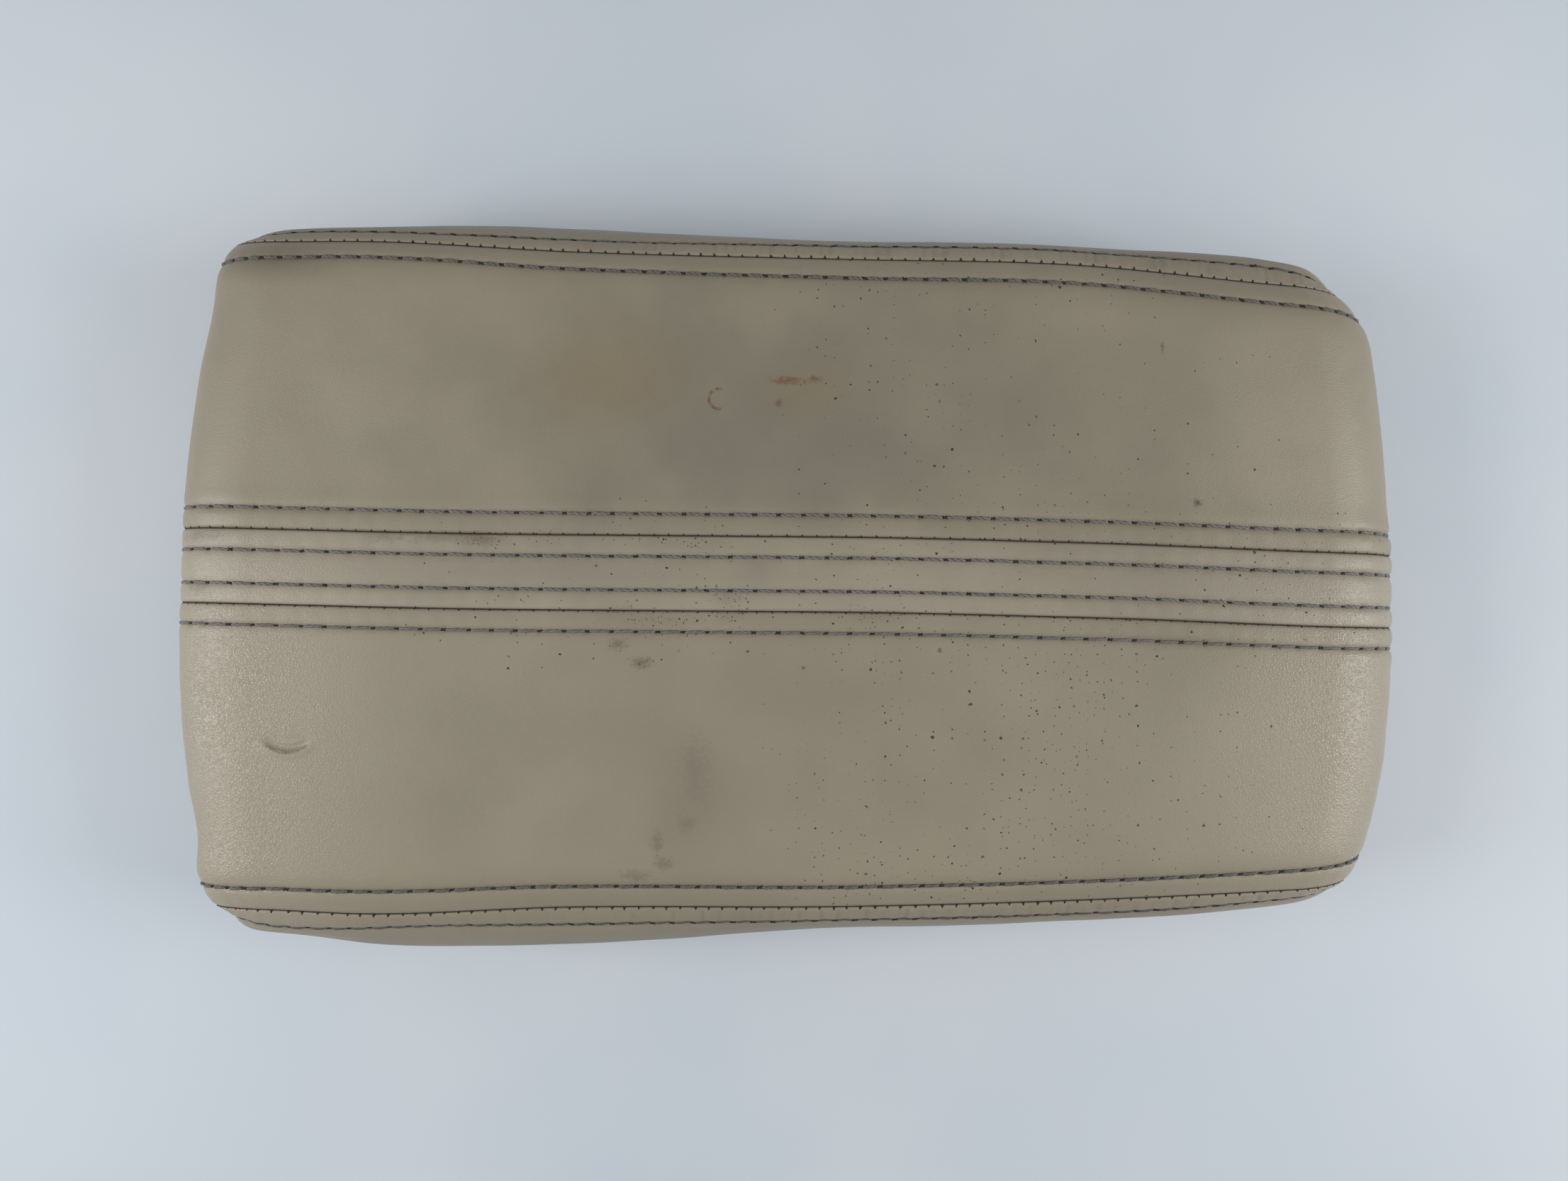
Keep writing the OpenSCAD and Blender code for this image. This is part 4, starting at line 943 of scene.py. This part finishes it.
hinge_coil, hinge_rise = spring("hinge_coil", HINGE_AT, HINGE_COIL)
latch_coil, latch_rise = spring("latch_coil", LATCH_AT, LATCH_COIL)

# Materials


def linear(r, g, b):
    """sRGB from 0 to 255 as a linear colour."""
    c = np.array([r, g, b]) / 255
    c = np.where(c <= 0.04045, c / 12.92, ((c + 0.055) / 1.055) ** 2.4)
    return (*c.tolist(), 1)


def scaled(colour, factor):
    return (*np.minimum(1, np.array(colour[:3]) * factor).tolist(), 1)


class Value:
    """A number from a node, which can be added to, taken from and multiplied with others."""

    def __init__(self, nodes, socket):
        self.nodes, self.socket = nodes, socket

    def __add__(self, other):
        return self.nodes.math("ADD", self, other)

    def __sub__(self, other):
        return self.nodes.math("SUBTRACT", self, other)

    def __rsub__(self, other):
        return self.nodes.math("SUBTRACT", other, self)

    def __mul__(self, other):
        return self.nodes.math("MULTIPLY", self, other)

    def __truediv__(self, other):
        return self.nodes.math("DIVIDE", self, other)


class Nodes:
    """A material's node tree, with short calls for what the surfaces here use."""

    MIX_A, MIX_B, MIX_OUT = 6, 7, 2  # the colour sockets of a mix node

    def __init__(self, name, roughness, **sockets):
        self.material = bpy.data.materials.new(name)
        self.material.use_nodes = True
        self.tree = self.material.node_tree
        self.shader = self.tree.nodes["Principled BSDF"].inputs
        self.shader["Roughness"].default_value = roughness
        for key, value in sockets.items():
            self.shader[key.replace("_", " ")].default_value = value
        self.mm = self.vector("MULTIPLY", self.node("ShaderNodeTexCoord", {}, "Object"), (1000, 1000, 1000))

    def put(self, socket, value):
        if isinstance(value, Value):
            self.tree.links.new(value.socket, socket)
        else:
            socket.default_value = value

    def node(self, kind, inputs, *outputs, **properties):
        """One or more outputs of a new node; sockets go by name or number."""
        node = self.tree.nodes.new(kind)
        for key, value in properties.items():
            setattr(node, key, value)
        for key, value in inputs.items():
            self.put(node.inputs[key], value)
        made = [Value(self, node.outputs[key]) for key in outputs]
        return made if len(made) > 1 else made[0]

    def math(self, operation, a, b=0):
        return self.node("ShaderNodeMath", {0: a, 1: b}, 0, operation=operation)

    def most(self, a, b):
        return self.math("MAXIMUM", a, b)

    def vector(self, operation, a, b):
        return self.node("ShaderNodeVectorMath", {0: a, 1: b}, 0, operation=operation)

    def split(self, vector):
        return self.node("ShaderNodeSeparateXYZ", {0: vector}, 0, 1, 2)

    def noise(self, scale, detail=3, rough=0.55, at=None, output="Fac"):
        inputs = {"Vector": at or self.mm, "Scale": scale, "Detail": detail, "Roughness": rough}
        return self.node("ShaderNodeTexNoise", inputs, output)

    def warped(self, place, scale, reach):
        """A place moved about by noise, by up to reach."""
        return self.vector("ADD", place, self.vector("MULTIPLY", self.noise(scale, 2, 0.5, output="Color"), reach))

    def cells(self, scale, *outputs, at=None, **properties):
        inputs = {"Vector": at or self.mm, "Scale": scale}
        return self.node("ShaderNodeTexVoronoi", inputs, *(outputs or ["Distance"]), **properties)

    def ramp(self, value, low, high, out_low=0, out_high=1):
        inputs = dict(enumerate((value, low, high, out_low, out_high)))
        return self.node("ShaderNodeMapRange", inputs, 0, interpolation_type="SMOOTHSTEP")

    def mix(self, factor, a, b):
        inputs = {"Factor": factor, self.MIX_A: a, self.MIX_B: b}
        return self.node("ShaderNodeMix", inputs, self.MIX_OUT, data_type="RGBA")

    # The darkening attribute, which holds real dirt and painted shade.
    def dirt_and_shade(self):
        return self.node("ShaderNodeAttribute", {}, "Fac", attribute_name="dirt_and_shade")

    def away(self, centre, size=(1, 1)):
        """Offsets and distance from a place on the top, measured in sizes."""
        x, y, _ = self.split(self.mm)
        dx, dy = (x - centre[0]) / size[0], (y - centre[1]) / size[1]
        return dx, dy, self.math("SQRT", dx * dx + dy * dy)

    def blob(self, centre, size, warp=0):
        """1 at a place on the top, falling to 0 at size from it; warp roughens its edge."""
        return self.ramp(self.away(centre, size)[2] + warp, 1, 0)

    def arc(self, centre, radius, width, facing, span):
        """A thin broken arc around the direction it faces, fading between the two cosines of span."""
        dx, dy, r = self.away(centre)
        ring = self.ramp(self.math("ABSOLUTE", r - radius), width, width * 0.25)
        towards = dx * (facing[0] / radius) + dy * (facing[1] / radius)
        return ring * (self.ramp(towards, *span) * self.ramp(self.noise(0.9), 0.3, 0.55))

    def finish(self, colour, bump=None, distance=0.0001, strength=1, roughness=None):
        self.put(self.shader["Base Color"], colour)
        if roughness is not None:
            self.put(self.shader["Roughness"], roughness)
        if bump is not None:
            inputs = {"Distance": distance, "Strength": strength, "Height": bump}
            self.put(self.shader["Normal"], self.node("ShaderNodeBump", inputs, "Normal"))
        return self.material


# Wear that the photo shows, with a painted shadow over the middle of the top. Places are in millimetres on the top:
# centre, size, strength, colour
# The two darkest colours are for real dirt and soil and also for painted shade: in seams, rows, grain creases and
# the dent.
DIRT_AND_SHADE, SOIL_AND_SHADE = linear(44, 36, 29), linear(92, 82, 66)
GREY, RUST, OCHRE = linear(78, 68, 60), linear(108, 68, 38), linear(132, 110, 70)
STAINS_AND_SHADOW = [
    # The first two darken the middle of the top, partly as soil and partly as painted shadow.
    ((5, 44), (120, 48), 0.45, linear(104, 98, 86)),
    ((-8, 28), (60, 24), 0.3, linear(98, 97, 88)),
    ((-46, 48), (24, 17), 0.32, OCHRE),
    ((2, 45), (15, 8), 0.22, OCHRE),
    ((-27, -52), (12, 24), 0.12, GREY),
    ((-128, 76), (20, 7), 0.35, GREY),
    ((-55, 2), (90, 10), 0.14, GREY),
    ((95, 2), (80, 34), 0.24, SOIL_AND_SHADE),
]
MARKS = [
    ((-3, 47.6), (5.5, 1.5), 0.75, RUST),
    ((-5.3, 42.2), (1.5, 1.3), 0.7, RUST),
    ((3.2, 48), (3, 1.2), 0.7, RUST),
    ((-42.6, -14.9), (2.6, 1.6), 0.36, GREY),
    ((-37, -19.4), (3.6, 1.9), 0.45, GREY),
    ((-24, -45), (5, 11), 0.18, GREY),
    ((-26, -57), (3, 3), 0.24, GREY),
    ((-33, -61.5), (2.2, 3.4), 0.38, GREY),
    ((-31.5, -66.5), (3.2, 2.4), 0.42, GREY),
    ((-38, -69.5), (6, 2.2), 0.3, GREY),
    ((-75, 9.4), (6, 2.4), 0.32, GREY),
    ((-84, 9.8), (14, 2), 0.3, GREY),
    ((-142, 9.6), (9, 2.2), 0.34, GREY),
    ((-98, 9.8), (7, 1.8), 0.28, GREY),
    ((94, 19.5), (2, 1.3), 0.75, DIRT_AND_SHADE),
    ((86, 56.5), (0.7, 2), 0.6, DIRT_AND_SHADE),
    ((-142, -3), (6, 3), 0.3, GREY),
]
# Arcs: centre, radius, width, direction, cosines of its fading, strength, colour
ARCS = [
    ((-19.4, 43.1), 2.4, 0.55, (-1, 0), (-0.45, 0.1), 0.8, RUST),
    # Painted shade: the dark line along the lower edge of the dent.
    (DENT_AT, DENT_R + 0.35, 0.6, (0, -1), (0.62, 0.9), 0.55, SOIL_AND_SHADE),
]
# Clusters of pepper specks: centre, size, strength
PEPPER = [
    ((-74, 9), (10, 3.4), 0.9),
    ((-60, 9.6), (8, 3), 0.5),
    ((-30, 9), (22, 2.6), 0.4),
    ((-17, -4.3), (6, 3), 0.9),
    ((-17, -8), (6, 2.6), 0.8),
    ((-69, -4.6), (10, 3), 0.4),
    ((-43, -6.6), (7, 3), 0.4),
    ((-32, -9.4), (16, 2.4), 0.6),
    ((14, 6), (14, 3), 0.45),
    ((18, -8), (14, 3.2), 0.6),
    ((-42.9, -15.3), (3.6, 2.4), 0.9),
    ((-37, -19.4), (4.2, 2.6), 0.7),
]


def specks(n, out, x, y):
    """Pepper specks, most of them on the front half, with clusters along the strip and a few larger spots."""
    patch = n.ramp(n.noise(0.03, 2), 0.36, 0.62, 0.3, 1)
    ragged = n.warped(n.mm, 1.8, (0.7, 0.7, 0))
    front = n.ramp(x, -14, 24) * n.ramp(x, 128, 62) * n.ramp(y, 8, 26, 1, 0.5)
    strip = n.ramp(n.math("ABSOLUTE", y), 24, 12) * n.ramp(x, -112, -30)
    zone = n.most(front, strip * 0.45) * patch
    cluster = 0
    for centre, size, amount in PEPPER:
        cluster = n.most(cluster, n.blob(centre, size) * amount)
    out = n.mix(cluster * 0.24, out, linear(98, 78, 62))
    for scale, reach, where, share, tint in (
        (1.15, 0.3, cluster, 0.9, linear(80, 58, 43)),
        (0.5, 0.13, zone, 0.6, linear(62, 45, 35)),
        (0.25, 0.1, zone, 0.6, linear(46, 33, 26)),
        (0.065, 0.042, zone, 0.55, linear(56, 42, 33)),
    ):
        distance, own = n.cells(scale, "Distance", "Color", at=ragged, voronoi_dimensions="2D")
        red, green, blue = n.split(own)
        size = (green * 0.7 + 0.3) * reach
        spot = n.ramp(distance, size, size * 0.65) * n.math("LESS_THAN", red, where * share)
        out = n.mix(spot * n.ramp(blue, 0, 0.8, 0.5, 1), out, tint)
    return out


def worn_and_shaded(n, out, x, y):
    """The top's wear and painted shade: a darker middle, part soil and part painted shadow, stains, scuffs, the
    dent's painted shade line and dark specks.
    """
    broad_edge = (n.noise(0.05, 3, 0.5) - 0.5) * 0.9
    rough_edge = (n.noise(0.9, 4, 0.7) - 0.5) * 2.2
    for places, edge in ((STAINS_AND_SHADOW, broad_edge), (MARKS, rough_edge)):
        for centre, size, amount, tint in places:
            out = n.mix(n.blob(centre, size, edge) * amount, out, tint)
    for *arc, amount, tint in ARCS:
        out = n.mix(n.arc(*arc) * amount, out, tint)
    return specks(n, out, x, y)


def leather_material(name, colour, top):
    n = Nodes(name, 0.5, Specular_IOR_Level=0.5)
    x, y, _ = n.split(n.mm)
    dark, light = scaled(colour, 0.92), scaled(colour, 1.06)
    blotch = n.noise(0.07, 4)
    out = n.mix(n.ramp(n.noise(0.016, 2) * 0.75 + blotch * 0.25, 0.32, 0.68), dark, light)
    out = n.mix(n.ramp(n.noise(1.3, 2), 0.35, 0.75, 0, 0.16), out, dark)
    # The grain stands out where the leather is drawn round the ends, most of all on the lower half
    low = n.ramp(y, 20, -22)
    front = n.ramp(x, 84, 138) * (low * 0.88 + 0.12)
    rear = n.ramp(x, -92, -136) * (low * 0.92 + 0.08)
    ends = n.most(front, rear)
    zone = ends * n.ramp(n.noise(0.05), 0.3, 0.65, 0.75, 1) * 0.75 + 0.25
    # Painted sheen: the ends, most of all on the lower half, are lightened as if lit by the lamps.
    out = n.mix(ends * 0.8, out, scaled(colour, (1.36, 1.36, 1.43)))
    drawn = n.warped(n.vector("MULTIPLY", n.mm, (0.82, 1.12, 1)), 0.8, (0.8, 0.8, 0.8))
    pebble = n.ramp(n.cells(1.55, at=drawn, feature="DISTANCE_TO_EDGE"), -0.12, 0.42)
    if top:
        out = worn_and_shaded(n, out, x, y)
    # Dirt and painted shade in the creases of the grain.
    out = n.mix((1 - pebble) * zone * 0.07, out, SOIL_AND_SHADE)
    # Dirt and painted shade from the mesh's darkening attribute: seams, rows, puckers and the cut edges.
    grime_and_shade = n.dirt_and_shade() * n.ramp(n.noise(0.5), 0.25, 0.7, 0.55, 1)
    out = n.mix(grime_and_shade * 0.82, out, DIRT_AND_SHADE)
    pores = n.ramp(n.cells(2.4), 0.1, 0.45)
    height = (pebble + n.noise(0.6) * 0.9) * zone + pores * 0.12 + n.noise(0.35) * 0.34
    roughness = n.ramp(blotch, 0.3, 0.7, 0.46, 0.54) + zone * -0.16
    return n.finish(out, height, 0.00012, 0.7, roughness)


def thread_material(name, colour):
    n = Nodes(name, 0.62, Sheen_Weight=0.25, Sheen_Roughness=0.4)
    fibre = n.noise(1, 3, 0.6, n.vector("MULTIPLY", n.mm, (2.2, 5, 5)))
    tone = n.ramp(fibre * 0.7 + n.noise(0.25) * 0.3, 0.3, 0.7)
    out = n.mix(tone, scaled(colour, 0.7), scaled(colour, 1.25))
    # Painted shade on the thread: its twist's valleys, its ends and the sunk outer rows.
    out = n.mix(n.dirt_and_shade() * 0.9, out, linear(40, 34, 31))
    return n.finish(out, fibre, 0.0001, 0.7)


def dark_material(name, colour):
    n = Nodes(name, 0.85)
    speck = n.noise(2)
    out = n.mix(n.ramp(speck, 0.35, 0.7), colour, scaled(colour, 1.9))
    return n.finish(out, speck, 0.00008, 0.6)


def plain_nodes(name, colour, roughness, metallic=0):
    return Nodes(name, roughness, Metallic=metallic), scaled(colour, 0.82), scaled(colour, 1.16)


def steel_material(name, colour, roughness):
    n, low, high = plain_nodes(name, colour, roughness, 1)
    streak = n.noise(1, 4, 0.6, n.vector("MULTIPLY", n.mm, (3, 0.12, 3)))
    out = n.mix(n.ramp(streak * 0.6 + n.noise(0.12) * 0.4, 0.32, 0.68), low, high)
    return n.finish(out, streak, 0.00003, 0.5, n.ramp(streak, 0.3, 0.7, roughness - 0.06, roughness + 0.1))


def zinc_material(name, colour, roughness):
    n, low, high = plain_nodes(name, colour, roughness, 1)
    tone = n.split(n.cells(0.5, "Color"))[0] * 0.5 + n.noise(0.3, 4) * 0.5
    out = n.mix(n.ramp(tone, 0.2, 0.75), low, high)
    return n.finish(out, n.noise(2.2), 0.00003, 0.5, n.ramp(tone, 0.2, 0.8, roughness - 0.07, roughness + 0.1))


def foam_material(name, colour, roughness):
    n, low, high = plain_nodes(name, colour, roughness)
    pore = n.ramp(n.cells(1.4), 0.1, 0.5)
    out = n.mix(n.ramp(n.noise(0.05), 0.3, 0.7), low, high)
    # Painted shade in the foam's pores.
    return n.finish(n.mix((1 - pore) * 0.4, out, low), pore, 0.0003, 0.7)


def rubber_material(name, colour, roughness):
    n, low, high = plain_nodes(name, colour, roughness)
    dust = n.noise(0.16, 4, 0.65)
    out = n.mix(n.ramp(n.noise(0.5, 5, 0.6), 0.3, 0.7), low, high)
    out = n.mix(n.ramp(dust, 0.5, 0.75, 0, 0.35), out, linear(96, 93, 88))
    return n.finish(out, n.noise(3, 2), 0.00006, 0.6, n.ramp(dust, 0.4, 0.7, roughness - 0.08, roughness + 0.08))


def plastic_material(name, colour, roughness):
    n, low, high = plain_nodes(name, colour, roughness)
    grain, haze = n.ramp(n.cells(1.7), 0.1, 0.6), n.noise(0.045, 4, 0.6)
    scuff = (*(0.6 * c + 0.06 for c in colour[:3]), 1)
    out = n.mix(n.ramp(haze, 0.35, 0.65), low, high)
    out = n.mix(n.ramp(n.noise(0.35, 5, 0.7), 0.58, 0.74, 0, 0.25), out, scuff)
    return n.finish(out, grain, 0.00007, 0.6, n.ramp(haze, 0.3, 0.7, roughness - 0.07, roughness + 0.07))


# Each material: its maker, colour and roughness, or for leather whether it has the top's wear and painted shadow
materials = {
    name: make(name, linear(*rgb), *rest)
    for name, make, rgb, *rest in (
        ("leather_panel", leather_material, (142, 133, 114), True),
        ("leather_strip", leather_material, (150, 141, 123), True),
        ("leather_side", leather_material, (140, 131, 113), False),
        ("stitch_thread", thread_material, (120, 114, 108)),
        ("edge_thread", thread_material, (104, 98, 90)),
        # Seam thread and needle spots are drawn darker than the thread as painted shade of the grooves, notches and
        # holes.
        ("seam_thread", dark_material, (34, 27, 20)),
        ("needle_dark", dark_material, (31, 27, 24)),
        ("pad_foam", foam_material, (226, 212, 168), 0.9),
        ("carrier_plastic", plastic_material, (62, 62, 64), 0.6),
        ("liner_plastic", plastic_material, (56, 56, 58), 0.62),
        ("staple_steel", steel_material, (198, 198, 200), 0.35),
        ("black_screws", zinc_material, (70, 70, 73), 0.42),
        ("zinc_screws", zinc_material, (196, 196, 198), 0.34),
        ("bumper_rubber", rubber_material, (46, 45, 44), 0.78),
        ("hinge_steel", zinc_material, (168, 168, 171), 0.4),
        ("bush_nylon", plastic_material, (226, 223, 212), 0.45),
        ("pin_steel", steel_material, (206, 206, 209), 0.28),
        ("clip_steel", steel_material, (104, 103, 104), 0.38),
        ("spring_steel", steel_material, (184, 185, 188), 0.32),
        ("latch_plastic", plastic_material, (58, 58, 60), 0.55),
        ("lever_plastic", plastic_material, (44, 44, 45), 0.48),
    )
}


def paint(obj, key):
    obj.data.materials.clear()
    obj.data.materials.append(materials[key])


for part in frame["record"]["subparts"]:
    paint(frame["nodes"][part["node"]], part["material_slot"])

# Each piece: object, material, record slot, CAD node it stands for
pieces = [
    (obj, "leather_" + kind, "leather_" + kind, f"cover_{place}_{kind}") for (place, kind), obj in leather.items()
] + [
    (strip_stitches, "stitch_thread", "stitch_thread", "strip_topstitch"),
    (edge_stitches, "edge_thread", "stitch_thread", "edge_topstitch"),
    (needle_holes, "needle_dark", "stitch_thread", None),
    (seam_threads_and_shade, "seam_thread", "stitch_thread", None),
    (foam, "pad_foam", "pad_foam", "foam_pad"),
]
for obj, key, slot, node in pieces:
    paint(obj, key)
    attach(obj, "lid")
    if node:
        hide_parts(node)

for obj, node, bodies, place, rise in (
    (hinge_coil, "hinge_spring", ("hinge_mount", "lid"), HINGE_AT, hinge_rise),
    (latch_coil, "latch_spring", ("lid", "latch"), LATCH_AT, latch_rise),
):
    paint(obj, "spring_steel")
    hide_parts(node)
    low = (place[0] * MM, -0.5 * rise * MM, place[1] * MM)
    high = (place[0] * MM, 0.5 * rise * MM, place[1] * MM)
    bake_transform(obj)

# Floor, light and camera

FLOOR = 3
floor_mesh = bpy.data.meshes.new("floor")
floor_corners = [(-FLOOR, -FLOOR, 0), (FLOOR, -FLOOR, 0), (FLOOR, FLOOR, 0), (-FLOOR, FLOOR, 0)]
floor_mesh.from_pydata(floor_corners, [], [(0, 1, 2, 3)])
floor = linked("floor", floor_mesh)
floor_nodes = Nodes("floor", 0.7, Specular_IOR_Level=0.3)
floor_cloud = floor_nodes.ramp(floor_nodes.noise(0.006), 0.35, 0.65)
floor_nodes.finish(floor_nodes.mix(floor_cloud, linear(198, 206, 214), linear(204, 210, 216)))
floor.data.materials.append(floor_nodes.material)

world = bpy.data.worlds.new("studio")
world.use_nodes = True
background = world.node_tree.nodes["Background"]
background.inputs["Color"].default_value = (0.93, 0.965, 1, 1)
background.inputs["Strength"].default_value = 0.34
bpy.context.scene.world = world


def area_light(name, place, target, size, power):
    data = bpy.data.lights.new(name, "AREA")
    data.shape = "RECTANGLE"
    data.size, data.size_y = size
    data.energy = power
    obj = linked(name, data)
    obj.location = place
    obj.rotation_euler = (Vector(target) - Vector(place)).to_track_quat("-Z", "Y").to_euler()


area_light("key", (0, -0.5, 1.1), (0, 0, 0.03), (1.3, 0.6), 1.1)
area_light("left", (-0.6, -0.06, 0.4), (-0.08, 0, 0.03), (0.3, 0.55), 2.8)
area_light("right", (0.62, -0.05, 0.4), (0.08, 0, 0.03), (0.3, 0.55), 2.95)

CAMERA_AT = (-5.78615, -7.30952, 333.92135)
CAMERA_TURN = (0.01886, -0.00793, 0.00874)
FOCAL_PIXELS, PHOTO_WIDTH, SENSOR = 1661, 2212, 36
turn_x, turn_y, turn_z = (Matrix.Rotation(angle, 4, axis) for angle, axis in zip(CAMERA_TURN, "XYZ"))
camera_data = bpy.data.cameras.new("camera")
camera_data.sensor_fit = "HORIZONTAL"
camera_data.sensor_width = SENSOR
camera_data.lens = FOCAL_PIXELS / PHOTO_WIDTH * SENSOR
camera_data.clip_start = 0.01
camera = linked("camera", camera_data)
camera.matrix_world = Matrix.Translation(Vector(CAMERA_AT) * MM) @ (turn_z @ turn_y @ turn_x)
bpy.context.scene.camera = camera
bpy.context.scene.view_settings.view_transform = "Standard"
